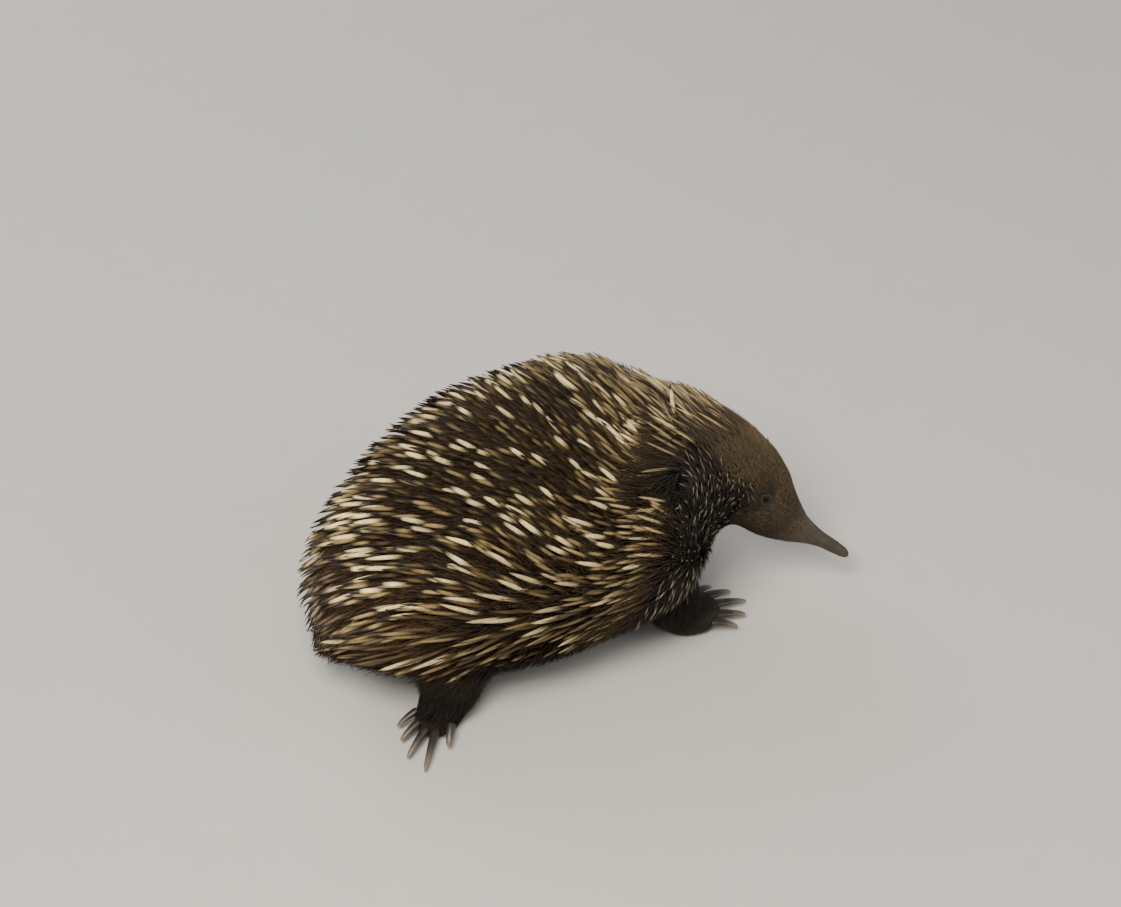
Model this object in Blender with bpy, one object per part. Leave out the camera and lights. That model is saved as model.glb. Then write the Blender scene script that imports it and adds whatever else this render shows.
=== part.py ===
"""A short-beaked echidna at life size, walking with its head down, as a still model.

The solids give the animal's outline out to the tips of its spines and fur. X runs forward along the
trunk, Y to the animal's left and Z up. The origin is on the ground, under the middle of the animal's
box. All sizes are in metres.
"""

import math

import bmesh
import bpy
import numpy as np
from mathutils import Matrix, Vector

# Trunk with its coat of spines
TRUNK_LENGTH = 0.282
TRUNK_REAR_X = -0.184
TRUNK_SQUARENESS = 2.25
# How far the front of the trunk swings to the right, towards the turned head
TRUNK_SWING = -0.010
# Distance from the rump's end as a share of the length, half width, half height, height of the middle
TRUNK_STATIONS = (
    (0.00, 0.000, 0.000, 0.071),
    (0.05, 0.044, 0.032, 0.073),
    (0.18, 0.077, 0.053, 0.079),
    (0.36, 0.100, 0.073, 0.087),
    (0.56, 0.110, 0.082, 0.093),
    (0.72, 0.109, 0.081, 0.095),
    (0.84, 0.100, 0.077, 0.099),
    (0.92, 0.083, 0.068, 0.103),
    (0.98, 0.050, 0.043, 0.106),
    (1.00, 0.000, 0.000, 0.107),
)
# Where the trunk is parted, along X and in height
RUMP_END_X = -0.093
SHOULDER_START_X = 0.032
BELLY_TOP_Z = 0.036

# Head: the tip of the beak, how far the head points down and turns to the animal's right, and the neck
# behind it, which is nearly level. The bend between them is given by its distances from the tip.
BEAK_TIP = Vector((0.1827, -0.0903, 0.0305))
HEAD_PITCH = 44
HEAD_YAW = -34
NECK_PITCH = 8
NECK_YAW = -14
BEND_START = 0.082
BEND_END = 0.130
HEAD_SQUARENESS = 2.1
# Distance from the beak's tip, half width, half height, rise of the middle above the beak's axis
HEAD_STATIONS = (
    (0.000, 0.0000, 0.0000, 0.0000),
    (0.002, 0.0038, 0.0034, 0.0000),
    (0.010, 0.0052, 0.0047, -0.0005),
    (0.025, 0.0062, 0.0058, -0.0030),
    (0.037, 0.0088, 0.0088, -0.0060),
    (0.048, 0.0135, 0.0140, -0.0085),
    (0.060, 0.0180, 0.0195, -0.0085),
    (0.075, 0.0225, 0.0260, -0.0055),
    (0.090, 0.0275, 0.0310, -0.0015),
    (0.105, 0.0340, 0.0370, 0.0010),
    (0.120, 0.0430, 0.0455, 0.0050),
    (0.140, 0.0560, 0.0570, 0.0075),
    (0.165, 0.0670, 0.0610, 0.0040),
    (0.190, 0.0000, 0.0000, 0.0000),
)
# The rings of the head stand closer together towards the beak, its finest end, by this power
HEAD_RING_CROWDING = 1.25
BEAK_LENGTH = 0.040
NECK_START = 0.110

EYE_RADIUS = 0.0044
EYE_FROM_TIP = 0.094
EYE_RISE = 0.011
EYE_DEPTH = 0.0060

# The skin of the turned neck draws the left ear forward and the right one back and up
EAR_FROM_TIP = {"ear_left": 0.146, "ear_right": 0.168}
EAR_ABOVE_LEVEL = {"ear_left": 22, "ear_right": 40}
EAR_LENGTH = 0.024
EAR_WIDTH = 0.015
EAR_THICKNESS = 0.009

# Tail: a blunt stub hidden in its own tuft of spines and hair, with its radii at the root and the end
TAIL_ROOT = (-0.138, 0.0, 0.056)
TAIL_TIP = (-0.163, 0.0, 0.050)
TAIL_RADII = (0.0276, 0.0192)

# Limbs: place of the shoulder or hip inside the trunk, place of the wrist or ankle, radii, and for the
# foot its middle on the ground, heading from straight ahead towards the animal's own side, length and width
FORE_LIMB = {"top": (0.048, 0.050, 0.064), "bottom": (0.064, 0.062, 0.026), "radii": (0.033, 0.023)}
HIND_LIMB = {"top": (-0.100, 0.044, 0.058), "bottom": (-0.106, 0.056, 0.026), "radii": (0.037, 0.024)}
FORE_FOOT = {"middle": (0.076, 0.065), "heading": 6, "length": 0.048, "width": 0.040, "height": 0.027}
HIND_FOOT = {"middle": (-0.114, 0.059), "heading": 150, "length": 0.052, "width": 0.037, "height": 0.026}
# How far each leg is ahead of its rest place in the walk
STRIDE = {"fore_left": 0.014, "fore_right": -0.006, "hind_left": 0.014, "hind_right": -0.002}
# How much of a foot's round underside is flattened into its sole, how much wider and lower the foot is
# at the toes than at its middle, and where the row of toes stands on it
SOLE_CLIP = 0.0035
FOOT_WIDENING = 0.10
FOOT_LOWERING = 0.16
FOOT_MIDDLE_WIDTH = 0.94
TOE_SPREAD = 0.36
TOE_ADVANCE = 0.40
TOE_ROW_CURVE = 0.025

# Claws of one foot from the inner toe outwards, and the fan in degrees between one claw and the next
FORE_CLAWS = (0.014, 0.021, 0.024, 0.021, 0.014)
HIND_CLAWS = (0.009, 0.031, 0.024, 0.016, 0.011)
FORE_CLAW_FAN = 13
HIND_CLAW_FAN = 17
FORE_CLAW_WIDTH = 0.0074
HIND_CLAW_WIDTH = 0.0058
FORE_CLAW_FLATNESS = 0.62
HIND_CLAW_FLATNESS = 0.85
CLAW_ROOT_HEIGHT = 0.0095
CLAW_TIP_HEIGHT = 0.0030
# Shares of the width and the thickness that a claw has lost at its tip, the power of its downward curve,
# and how soon its ends fill out to the full section
CLAW_NARROWING = 0.30
CLAW_THINNING = 0.45
CLAW_CURVE = 1.8
CLAW_BLUNTNESS = 1.6

GAP = 0.0003
CUTTER_SIZE = 1.0
SHARP_EDGE = math.radians(40)

COLOURS = {
    "spiny_coat": "2e2713",
    "brown_fur": "4a3a24",
    "dark_fur": "241c12",
    "beak_skin": "4a4337",
    "eye": "0f0c0a",
    "claw": "3a3128",
}
ROUGHNESS = {
    "spiny_coat": 0.6,
    "brown_fur": 0.8,
    "dark_fur": 0.85,
    "beak_skin": 0.5,
    "eye": 0.1,
    "claw": 0.4,
}


def clear_scene():
    for old in list(bpy.data.objects):
        bpy.data.objects.remove(old, do_unlink=True)


def new_collection(name):
    collection = bpy.data.collections.new(name)
    bpy.context.scene.collection.children.link(collection)
    return collection


def linear(hex_colour):
    """An sRGB hex colour as linear red, green, blue and alpha."""
    values = [int(hex_colour[i : i + 2], 16) / 255 for i in (0, 2, 4)]
    return [v / 12.92 if v <= 0.04045 else ((v + 0.055) / 1.055) ** 2.4 for v in values] + [1.0]


def make_material(name, finish):
    material = bpy.data.materials.new(name)
    material.use_nodes = True
    shader = material.node_tree.nodes["Principled BSDF"]
    shader.inputs["Base Color"].default_value = linear(COLOURS[finish])
    shader.inputs["Roughness"].default_value = ROUGHNESS[finish]
    shader.inputs["Metallic"].default_value = 0.0
    return material


def smooth_curve(at, stations, values):
    """A curve through the values that never swings past them (monotone cubic)."""
    stations = np.asarray(stations, float)
    values = np.asarray(values, float)
    widths = np.diff(stations)
    slopes = np.diff(values) / widths
    tangents = np.concatenate(([slopes[0]], np.zeros(len(slopes) - 1), [slopes[-1]]))
    for i in range(1, len(slopes)):
        if slopes[i - 1] * slopes[i] > 0:
            before = 2 * widths[i] + widths[i - 1]
            after = widths[i] + 2 * widths[i - 1]
            tangents[i] = (before + after) / (before / slopes[i - 1] + after / slopes[i])
    i = int(np.clip(np.searchsorted(stations, at) - 1, 0, len(widths) - 1))
    t = (at - stations[i]) / widths[i]
    rise = (2 * t**3 - 3 * t**2 + 1) * values[i] + (3 * t**2 - 2 * t**3) * values[i + 1]
    bend = (t**3 - 2 * t**2 + t) * tangents[i] + (t**3 - t**2) * tangents[i + 1]
    return float(rise + bend * widths[i])


def rounded_size(at, stations, sizes):
    """As smooth_curve, for a radius that closes to a round end where it is 0."""
    return math.sqrt(max(0.0, smooth_curve(at, stations, np.square(sizes))))


def superellipse(across, up, squareness):
    """A point of the unit circle pushed out towards the corners of its square."""
    reach = (abs(across) ** squareness + abs(up) ** squareness) ** (1 / squareness)
    return across / reach, up / reach


def shaped_sphere(name, collection, finish, around, rings, place):
    """A sphere primitive whose points are moved by place(along, across, up, ring).

    along runs from -1 at one pole to 1 at the other, across and up lie on the unit circle round that
    axis, and ring is the sphere's own radius there.
    """
    shape = bmesh.new()
    bmesh.ops.create_uvsphere(shape, u_segments=around, v_segments=rings, radius=1.0)
    for vert in shape.verts:
        along = max(-1.0, min(1.0, vert.co.z))
        angle = math.atan2(vert.co.x, vert.co.y)
        ring = math.sqrt(1 - along * along)
        vert.co = Vector(place(along, math.sin(angle), math.cos(angle), ring))
    if shape.calc_volume(signed=True) < 0:
        bmesh.ops.reverse_faces(shape, faces=shape.faces)
    mesh = bpy.data.meshes.new(name)
    shape.to_mesh(mesh)
    shape.free()
    mesh.shade_smooth()
    mesh.set_sharp_from_angle(angle=SHARP_EDGE)
    made = bpy.data.objects.new(name, mesh)
    made.data.materials.append(make_material(name, finish))
    collection.objects.link(made)
    return made


def as_cutter(obj):
    obj.hide_render = True
    obj.display_type = "WIRE"
    return obj


def grown_copy(obj, cutters):
    """A cutter of the same shape whose surface stands outside the object's by the gap."""
    cutter = bpy.data.objects.new("room_for_" + obj.name, obj.data.copy())
    shape = bmesh.new()
    shape.from_mesh(cutter.data)
    shape.normal_update()
    for vert, normal in [(vert, vert.normal.copy()) for vert in shape.verts]:
        vert.co += normal * GAP
    shape.to_mesh(cutter.data)
    shape.free()
    cutters.objects.link(cutter)
    return as_cutter(cutter)


def side_cutter(name, cutters, point, direction):
    """A large box that fills one side of a cut: the side towards the direction, from the point on."""
    bpy.ops.mesh.primitive_cube_add(size=CUTTER_SIZE)
    box = bpy.context.object
    box.name = name
    turn = Vector(direction).to_track_quat("Z", "Y").to_matrix().to_4x4()
    rise = Matrix.Translation((0, 0, (CUTTER_SIZE + GAP) / 2))
    box.data.transform(Matrix.Translation(point) @ turn @ rise)
    for old in list(box.users_collection):
        old.objects.unlink(box)
    cutters.objects.link(box)
    return as_cutter(box)


def add_boolean(obj, cutter, operation):
    modifier = obj.modifiers.new(operation.lower() + "_" + cutter.name, "BOOLEAN")
    modifier.operation = operation
    modifier.solver = "EXACT"
    modifier.object = cutter


def part_of(whole, name, finish, parts, cutters, cuts):
    """The piece of a whole shape between cuts, each given by a point and the direction kept."""
    piece = bpy.data.objects.new(name, whole.data.copy())
    piece.data.materials.clear()
    piece.data.materials.append(make_material(name, finish))
    parts.objects.link(piece)
    for number, (point, direction) in enumerate(cuts):
        cutter = side_cutter("side_{}_of_{}".format(number + 1, name), cutters, point, direction)
        add_boolean(piece, cutter, "INTERSECT")
    return piece


def trunk_place(along, across, up, _ring):
    share = (along + 1) / 2
    at, half_widths, half_heights, middles = zip(*TRUNK_STATIONS)
    across, up = superellipse(across, up, TRUNK_SQUARENESS)
    swing = TRUNK_SWING * max(0.0, (share - 0.5) / 0.5) ** 2
    y = swing + rounded_size(share, at, half_widths) * across
    z = smooth_curve(share, at, middles) + rounded_size(share, at, half_heights) * up
    return TRUNK_REAR_X + TRUNK_LENGTH * share, y, z


def head_directions(from_tip):
    """Forward along the head, to its left, and up, that far behind the beak's tip."""
    share = min(1.0, max(0.0, (from_tip - BEND_START) / (BEND_END - BEND_START)))
    pitch = math.radians(HEAD_PITCH + (NECK_PITCH - HEAD_PITCH) * share)
    yaw = math.radians(HEAD_YAW + (NECK_YAW - HEAD_YAW) * share)
    level = math.cos(pitch)
    forward = Vector((math.cos(yaw) * level, math.sin(yaw) * level, -math.sin(pitch)))
    left = Vector((-math.sin(yaw), math.cos(yaw), 0))
    return forward, left, forward.cross(left)


def head_middle(from_tip, steps=48):
    """The head's axis, followed back from the beak's tip through the bend into the neck."""
    middle = BEAK_TIP.copy()
    for step in range(steps):
        middle -= head_directions(from_tip * (step + 0.5) / steps)[0] * from_tip / steps
    return middle


def head_sizes(from_tip):
    at, half_widths, half_heights, rises = zip(*HEAD_STATIONS)
    half_width = rounded_size(from_tip, at, half_widths)
    return half_width, rounded_size(from_tip, at, half_heights), smooth_curve(from_tip, at, rises)


def head_point(from_tip, left_by, up_by):
    _forward, left, up = head_directions(from_tip)
    return head_middle(from_tip) + left * left_by + up * up_by


def head_surface_point(from_tip, side, above_level):
    """A point of the head's surface, its outward direction, and the up direction along the surface."""
    angle = math.radians(above_level)
    half_width, half_height, rise = head_sizes(from_tip)
    _forward, left, up = head_directions(from_tip)
    across, height = superellipse(side * math.cos(angle), math.sin(angle), HEAD_SQUARENESS)
    out = (left * math.cos(angle) * side + up * math.sin(angle)).normalized()
    along_up = (up * math.cos(angle) - left * math.sin(angle) * side).normalized()
    return head_point(from_tip, across * half_width, rise + height * half_height), out, along_up


def head_place(along, across, up, _ring):
    from_tip = HEAD_STATIONS[-1][0] * ((along + 1) / 2) ** HEAD_RING_CROWDING
    across, up = superellipse(across, up, HEAD_SQUARENESS)
    half_width, half_height, rise = head_sizes(from_tip)
    return head_point(from_tip, half_width * across, rise + half_height * up)


def tapered_place(start, end, start_radius, end_radius):
    """A limb between two points, with a half ball at each end."""
    start = Vector(start)
    end = Vector(end)
    direction = (end - start).normalized()
    side = direction.cross(Vector((1, 0, 0) if abs(direction.y) > 0.7 else (0, 1, 0))).normalized()
    front = direction.cross(side)

    def place(along, across, up, _ring):
        # A quarter of the rings each way make the balls, and the rest the length between them
        latitude = math.asin(along) / (math.pi / 2)
        share = min(1.0, max(0.0, latitude + 0.5))
        cap = max(0.0, abs(latitude) - 0.5) * math.pi
        radius = start_radius + (end_radius - start_radius) * share
        middle = start.lerp(end, share) + direction * math.copysign(radius * math.sin(cap), along)
        return middle + (side * across + front * up) * radius * math.cos(cap)

    return place


def foot_frame(foot, side, stride):
    """The middle of a sole and the directions of its foot: ahead and to the left."""
    heading = math.radians(foot["heading"]) * side
    ahead = Vector((math.cos(heading), math.sin(heading), 0))
    left = Vector((-ahead.y, ahead.x, 0))
    middle = Vector((foot["middle"][0] + stride, foot["middle"][1] * side, 0))
    return middle, ahead, left


def foot_place(foot, side, stride):
    middle, ahead, left = foot_frame(foot, side, stride)
    half_height = (foot["height"] + SOLE_CLIP) / 2

    def place(along, across, up, ring):
        half_width = foot["width"] / 2 * (FOOT_MIDDLE_WIDTH + FOOT_WIDENING * along)
        height = half_height * (up * ring + 1) * (1 - FOOT_LOWERING * along) - SOLE_CLIP
        on_ground = middle + ahead * along * foot["length"] / 2 + left * across * ring * half_width
        return on_ground + Vector((0, 0, max(0.0, height)))

    return place


def claw_place(root, direction, length, width, flat):
    """A claw that leaves its toe at root, curves down and ends in a blunt edge."""
    side = Vector((-direction.y, direction.x, 0)).normalized()
    drop = CLAW_ROOT_HEIGHT - CLAW_TIP_HEIGHT

    def place(along, across, up, ring):
        share = (along + 1) / 2
        fullness = min(1.0, CLAW_BLUNTNESS * ring)
        half_width = width / 2 * (1 - CLAW_NARROWING * share**2) * fullness
        half_height = width / 2 * flat * (1 - CLAW_THINNING * share) * fullness
        middle = root + direction * length * share
        middle.z = CLAW_ROOT_HEIGHT - drop * share**CLAW_CURVE
        return middle + side * across * half_width + Vector((0, 0, up * half_height))

    return place


def make_trunk(parts, cutters):
    """Rump, back and shoulders above the belly, parted by thin upright and level cuts."""
    whole = as_cutter(shaped_sphere("whole_trunk", cutters, "spiny_coat", 36, 22, trunk_place))
    above_belly = ((0, 0, BELLY_TOP_Z), (0, 0, 1))
    rump_end = (RUMP_END_X, 0, BELLY_TOP_Z)
    shoulder_start = (SHOULDER_START_X, 0, BELLY_TOP_Z)
    spans = {
        "rump": ("spiny_coat", (above_belly, (rump_end, (-1, 0, 0)))),
        "back": ("spiny_coat", (above_belly, (rump_end, (1, 0, 0)), (shoulder_start, (-1, 0, 0)))),
        "shoulders": ("spiny_coat", (above_belly, (shoulder_start, (1, 0, 0)))),
        "belly": ("dark_fur", (((0, 0, BELLY_TOP_Z), (0, 0, -1)),)),
    }
    for name, (finish, cuts) in spans.items():
        part_of(whole, name, finish, parts, cutters, cuts)
    return grown_copy(whole, cutters)


def make_head(parts, cutters, room_for_trunk):
    """Beak, head and neck from one long form, parted across the head's axis."""
    whole = as_cutter(shaped_sphere("whole_head", cutters, "brown_fur", 26, 24, head_place))
    beak_end = head_middle(BEAK_LENGTH)
    neck_start = head_middle(NECK_START)
    beak_forward = head_directions(BEAK_LENGTH)[0]
    neck_forward = head_directions(NECK_START)[0]
    spans = {
        "beak": ("beak_skin", ((beak_end, beak_forward),)),
        "head": ("brown_fur", ((beak_end, -beak_forward), (neck_start, neck_forward))),
        "neck": ("dark_fur", ((neck_start, -neck_forward),)),
    }
    made = {}
    for name, (finish, cuts) in spans.items():
        made[name] = part_of(whole, name, finish, parts, cutters, cuts)
    for name in ("head", "neck"):
        add_boolean(made[name], room_for_trunk, "DIFFERENCE")
    return made, grown_copy(whole, cutters)


def make_eyes(parts, cutters, head):
    """Small dark eyes, set a little below the coat behind the beak's root."""
    for side, name in ((1, "eye_left"), (-1, "eye_right")):
        half_width = head_sizes(EYE_FROM_TIP)[0]
        centre = head_point(EYE_FROM_TIP, side * (half_width - EYE_DEPTH), EYE_RISE)

        def ball(along, across, up, ring, centre=centre):
            return centre + Vector((across * ring, up * ring, along)) * EYE_RADIUS

        eye = shaped_sphere(name, parts, "eye", 14, 10, ball)
        add_boolean(head, grown_copy(eye, cutters), "DIFFERENCE")


def make_ears(parts, room_for_head, room_for_trunk):
    """Low fleshy rims behind the cheeks, where the spines begin."""
    for side, name in ((1, "ear_left"), (-1, "ear_right")):
        middle, out, along_up = head_surface_point(EAR_FROM_TIP[name], side, EAR_ABOVE_LEVEL[name])
        along_head = out.cross(along_up)

        def oval(along, across, up, ring, frame=(middle, out, along_up, along_head)):
            centre, outward, upright, level = frame
            flat = level * across * ring * EAR_WIDTH / 2 + upright * up * ring * EAR_LENGTH / 2
            return centre + flat + outward * along * EAR_THICKNESS / 2

        ear = shaped_sphere(name, parts, "dark_fur", 14, 8, oval)
        add_boolean(ear, room_for_head, "DIFFERENCE")
        add_boolean(ear, room_for_trunk, "DIFFERENCE")


def make_tail(parts, room_for_trunk):
    tail = shaped_sphere("tail", parts, "brown_fur", 18, 12, tapered_place(TAIL_ROOT, TAIL_TIP, *TAIL_RADII))
    add_boolean(tail, room_for_trunk, "DIFFERENCE")


def make_leg(parts, cutters, room_for_trunk, name, limb, foot, claws, side):
    """One leg, its foot and its claws, each cut to leave room for the piece it grows from."""
    stride = STRIDE[name]
    top = Vector((limb["top"][0], limb["top"][1] * side, limb["top"][2]))
    bottom = Vector((limb["bottom"][0] + stride, limb["bottom"][1] * side, limb["bottom"][2]))
    leg = shaped_sphere("leg_" + name, parts, "dark_fur", 14, 10, tapered_place(top, bottom, *limb["radii"]))
    paw = shaped_sphere("foot_" + name, parts, "dark_fur", 16, 10, foot_place(foot, side, stride))
    room_for_paw = grown_copy(paw, cutters)
    add_boolean(leg, room_for_trunk, "DIFFERENCE")
    add_boolean(leg, room_for_paw, "DIFFERENCE")
    add_boolean(paw, room_for_trunk, "DIFFERENCE")
    middle, ahead, left = foot_frame(foot, side, stride)
    lengths, fan, width, flat = claws
    for number, length in enumerate(lengths):
        # The first toe is the one on the inner side of a foot that points ahead
        turn = math.radians(fan) * (number - 2) * side
        direction = ahead * math.cos(turn) + left * math.sin(turn)
        spread = foot["width"] * TOE_SPREAD * (number - 2) / 2 * side
        advance = foot["length"] * (TOE_ADVANCE - TOE_ROW_CURVE * (number - 2) ** 2)
        root = middle + left * spread + ahead * advance
        place = claw_place(root, direction, length, width, flat)
        claw = shaped_sphere("claw_{}_{}".format(name, number + 1), parts, "claw", 8, 6, place)
        add_boolean(claw, room_for_paw, "DIFFERENCE")


def main():
    clear_scene()
    parts = new_collection("echidna")
    cutters = new_collection("cutters")
    room_for_trunk = make_trunk(parts, cutters)
    head_parts, room_for_head = make_head(parts, cutters, room_for_trunk)
    make_eyes(parts, cutters, head_parts["head"])
    make_ears(parts, room_for_head, room_for_trunk)
    make_tail(parts, room_for_trunk)
    fore_claws = (FORE_CLAWS, FORE_CLAW_FAN, FORE_CLAW_WIDTH, FORE_CLAW_FLATNESS)
    hind_claws = (HIND_CLAWS, HIND_CLAW_FAN, HIND_CLAW_WIDTH, HIND_CLAW_FLATNESS)
    for side, hand in ((1, "left"), (-1, "right")):
        make_leg(parts, cutters, room_for_trunk, "fore_" + hand, FORE_LIMB, FORE_FOOT, fore_claws, side)
        make_leg(parts, cutters, room_for_trunk, "hind_" + hand, HIND_LIMB, HIND_FOOT, hind_claws, side)


main()
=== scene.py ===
"""A short-beaked echidna at life size, walking with its head down and turned to its right.

One skin carries the whole body. Over it lie fur in fine tufts and stout spines, and the eyes and claws
are set in it. X runs forward, Y to the animal's left and Z up, and all sizes are in metres.
"""

import math
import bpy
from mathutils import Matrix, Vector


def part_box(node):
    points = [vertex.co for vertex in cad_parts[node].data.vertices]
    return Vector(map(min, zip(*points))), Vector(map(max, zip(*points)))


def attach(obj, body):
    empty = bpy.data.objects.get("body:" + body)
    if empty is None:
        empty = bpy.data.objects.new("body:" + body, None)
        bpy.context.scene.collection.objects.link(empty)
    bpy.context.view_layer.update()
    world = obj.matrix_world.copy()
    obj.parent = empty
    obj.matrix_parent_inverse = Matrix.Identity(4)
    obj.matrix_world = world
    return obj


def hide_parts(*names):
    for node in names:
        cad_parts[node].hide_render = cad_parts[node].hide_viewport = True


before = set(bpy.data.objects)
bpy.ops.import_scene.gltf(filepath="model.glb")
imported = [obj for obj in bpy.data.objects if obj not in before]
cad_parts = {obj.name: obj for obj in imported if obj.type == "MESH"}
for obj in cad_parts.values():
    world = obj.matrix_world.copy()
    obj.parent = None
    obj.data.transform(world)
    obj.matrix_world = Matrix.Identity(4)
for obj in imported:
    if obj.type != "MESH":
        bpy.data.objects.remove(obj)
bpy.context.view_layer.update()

from types import SimpleNamespace

import bmesh
import bpy
import numpy as np
from mathutils import Matrix, Vector
from mathutils.bvhtree import BVHTree

MM = 0.001

# The photograph's frame in pixels and where the middle of the trunk stands in it
PHOTO_WIDTH, PHOTO_HEIGHT = 1121, 907
TRUNK_PIXEL = (520, 517)
TRUNK_MIDDLE = Vector((-0.0235, 0.0, 0.092))
VIEW_AZIMUTH = math.radians(-30)
VIEW_ELEVATION = math.radians(43)
CAMERA_DISTANCE = 2.5
PIXELS_PER_METRE = 1500
SENSOR_WIDTH_MM = 36

# What each node of the body is covered with
COVERING = {
    "beak": "beak", "head": "face", "neck": "spiny", "shoulders": "spiny", "back": "spiny", "rump": "spiny",
    "belly": "belly", "tail": "tail", "ear_left": "ear", "ear_right": "ear",
}
LEGS = ("fore_left", "fore_right", "hind_left", "hind_right")
for leg in LEGS:
    COVERING["leg_" + leg] = "leg"
    COVERING["foot_" + leg] = "foot"
ZONES = ("spiny", "cheek", "face", "beak", "ear", "belly", "tail", "leg", "foot")

# How deep the skin lies under the tips of each zone's coat
COAT_DEPTH = {
    "spiny": 26 * MM, "cheek": 7.5 * MM, "face": 3 * MM, "beak": 0.2 * MM, "ear": 7 * MM,
    "belly": 9 * MM, "tail": 10 * MM, "leg": 5 * MM, "foot": 2.2 * MM,
}
# Front edge of the spines: degrees from the middle of the back, and how far forward they reach there
SPINE_EDGE = (
    (0, 0.136), (8, 0.127), (15, 0.114), (24, 0.095), (30, 0.081), (36, 0.067), (48, 0.054), (58, 0.050),
    (69, 0.047), (80, 0.039), (91, 0.029), (104, 0.017), (120, 0.008), (180, 0.004),
)
# The brown of the face on either side of the head's middle: distance behind the beak's tip, and how far out
# it reaches before the dark of the cheeks
BROWN_REACH = ((0.088, 0.021), (0.110, 0.026), (0.134, 0.039), (0.155, 0.036), (0.180, 0.034))
# The neck turns to the right, so that the spines reach further forward on its left
LEFT_REACH = ((0, 0.0), (35, 0.036), (70, 0.030), (100, 0.012), (150, 0.0), (180, 0.0))
TRUNK_AXIS_HEIGHT = 0.095

# How far the coat turns from straight back towards the ridge of the back, in degrees: rows for places
# along X, columns for how much the skin faces up
LIE_PLACES = (-0.150, -0.105, -0.060, -0.035, -0.005, 0.030, 0.075)
LIE_FACING = (-0.40, -0.10, 0.15, 0.40, 0.60, 0.80, 1.00)
LIE_TURNS = (
    (-10, 4, 6, 4, 8, 22, 14),
    (-20, 4, 16, 18, 30, 36, 18),
    (6, 26, 42, 48, 50, 50, 22),
    (24, 38, 52, 54, 52, 52, 26),
    (10, 22, 40, 44, 44, 44, 30),
    (-18, -12, 4, 8, 26, 40, 42),
    (-30, -25, -10, 12, 44, 54, 58),
)

SKIN_VOXEL = 2.4 * MM

# Place of the eyes above the beak's axis, as the solids have it, over their distance behind its tip
EYE_ANGLE = math.atan2(11, 94)


def linear(hex_colour):
    """An sRGB hex colour as linear red, green and blue."""
    values = [int(hex_colour[i : i + 2], 16) / 255 for i in (0, 2, 4)]
    return np.array([v / 12.92 if v <= 0.04045 else ((v + 0.055) / 1.055) ** 2.4 for v in values])


def size(vectors):
    return np.linalg.norm(vectors, axis=-1)


def unit(vectors):
    return vectors / np.maximum(size(vectors)[..., None], 1e-12)


def dot(a, b):
    return (a * b).sum(-1)


def mix(first, second, share):
    """Values that pass from the first to the second as the share rises from 0 to 1."""
    return first + (second - first) * share


def ease(low, high, values):
    """0 below low, 1 above high and a smooth rise between."""
    share = np.clip((values - low) / (high - low), 0, 1)
    return share * share * (3 - 2 * share)


def hump(values, middle, width):
    """1 at the middle, falling off smoothly over the width on both sides."""
    return np.exp(-(((values - middle) / width) ** 2))


def drift(points, span, seed):
    """Smooth random values from -1 to 1 that change over about the given distance."""
    at = points / span
    low = np.floor(at)
    share = at - low
    share = share * share * (3 - 2 * share)
    total = np.zeros(len(points))
    for corner in np.ndindex(2, 2, 2):
        cell = (low + corner).astype(np.int64)
        mixed = cell[:, 0] * 73856093 ^ cell[:, 1] * 19349663 ^ cell[:, 2] * 83492791 ^ seed * 2654435
        mixed = (mixed * 1103515245 + 12345) & 0x7FFFFFFF
        value = (mixed >> 8) % 4096 / 2048 - 1
        total += value * np.prod(np.where(corner, share, 1 - share), axis=1)
    return total


def select_only(obj):
    bpy.ops.object.select_all(action="DESELECT")
    obj.select_set(True)
    bpy.context.view_layer.objects.active = obj


def add_primitive(operator, name, **settings):
    bpy.ops.object.select_all(action="DESELECT")
    operator(**settings)
    obj = bpy.context.object
    obj.name = name
    return obj


def apply_modifier(obj, kind, **settings):
    select_only(obj)
    modifier = obj.modifiers.new(kind.lower(), kind)
    for key, value in settings.items():
        setattr(modifier, key, value)
    bpy.ops.object.modifier_apply(modifier=modifier.name)


def read(items, key, width=1, kind=np.float32):
    """A value, or a row of values, of every item of one of a mesh's collections."""
    values = np.empty(len(items) * width, kind)
    items.foreach_get(key, values)
    if kind is np.float32:
        values = values.astype(float)
    return values.reshape(-1, width) if width > 1 else values


def points_of(mesh):
    return read(mesh.vertices, "co", 3)


def set_points(mesh, points):
    mesh.vertices.foreach_set("co", points.astype(np.float32).ravel())
    mesh.update()


def normals_of(mesh):
    return read(mesh.vertex_normals, "vector", 3)


def edges_of(mesh):
    return read(mesh.edges, "vertices", 2, np.int32)


def spread(values, edges, rounds):
    """Values at the points of a mesh, each drawn half way to the mean of its neighbours, some rounds over."""
    values = np.array(values, float)
    degree = np.bincount(edges.ravel(), minlength=len(values)).astype(float)
    flat = values.reshape(len(values), -1)
    for _ in range(rounds):
        for column in range(flat.shape[1]):
            total = np.bincount(edges[:, 0], flat[edges[:, 1], column], len(flat))
            total += np.bincount(edges[:, 1], flat[edges[:, 0], column], len(flat))
            flat[:, column] += 0.5 * (total / degree - flat[:, column])
    return flat.reshape(values.shape)


def keep_values(mesh, name, values):
    attribute = mesh.attributes.get(name) or mesh.attributes.new(name, "FLOAT", "POINT")
    attribute.data.foreach_set("value", np.asarray(values, np.float32))


def keep_colours(mesh, colours):
    attribute = mesh.color_attributes.new("coat", "FLOAT_COLOR", "POINT")
    rgba = np.ones((len(colours), 4), np.float32)
    rgba[:, :3] = colours
    attribute.data.foreach_set("color", rgba.ravel())


def bvh_of(mesh):
    return BVHTree.FromPolygons(points_of(mesh).tolist(), [tuple(p.vertices) for p in mesh.polygons])


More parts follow.
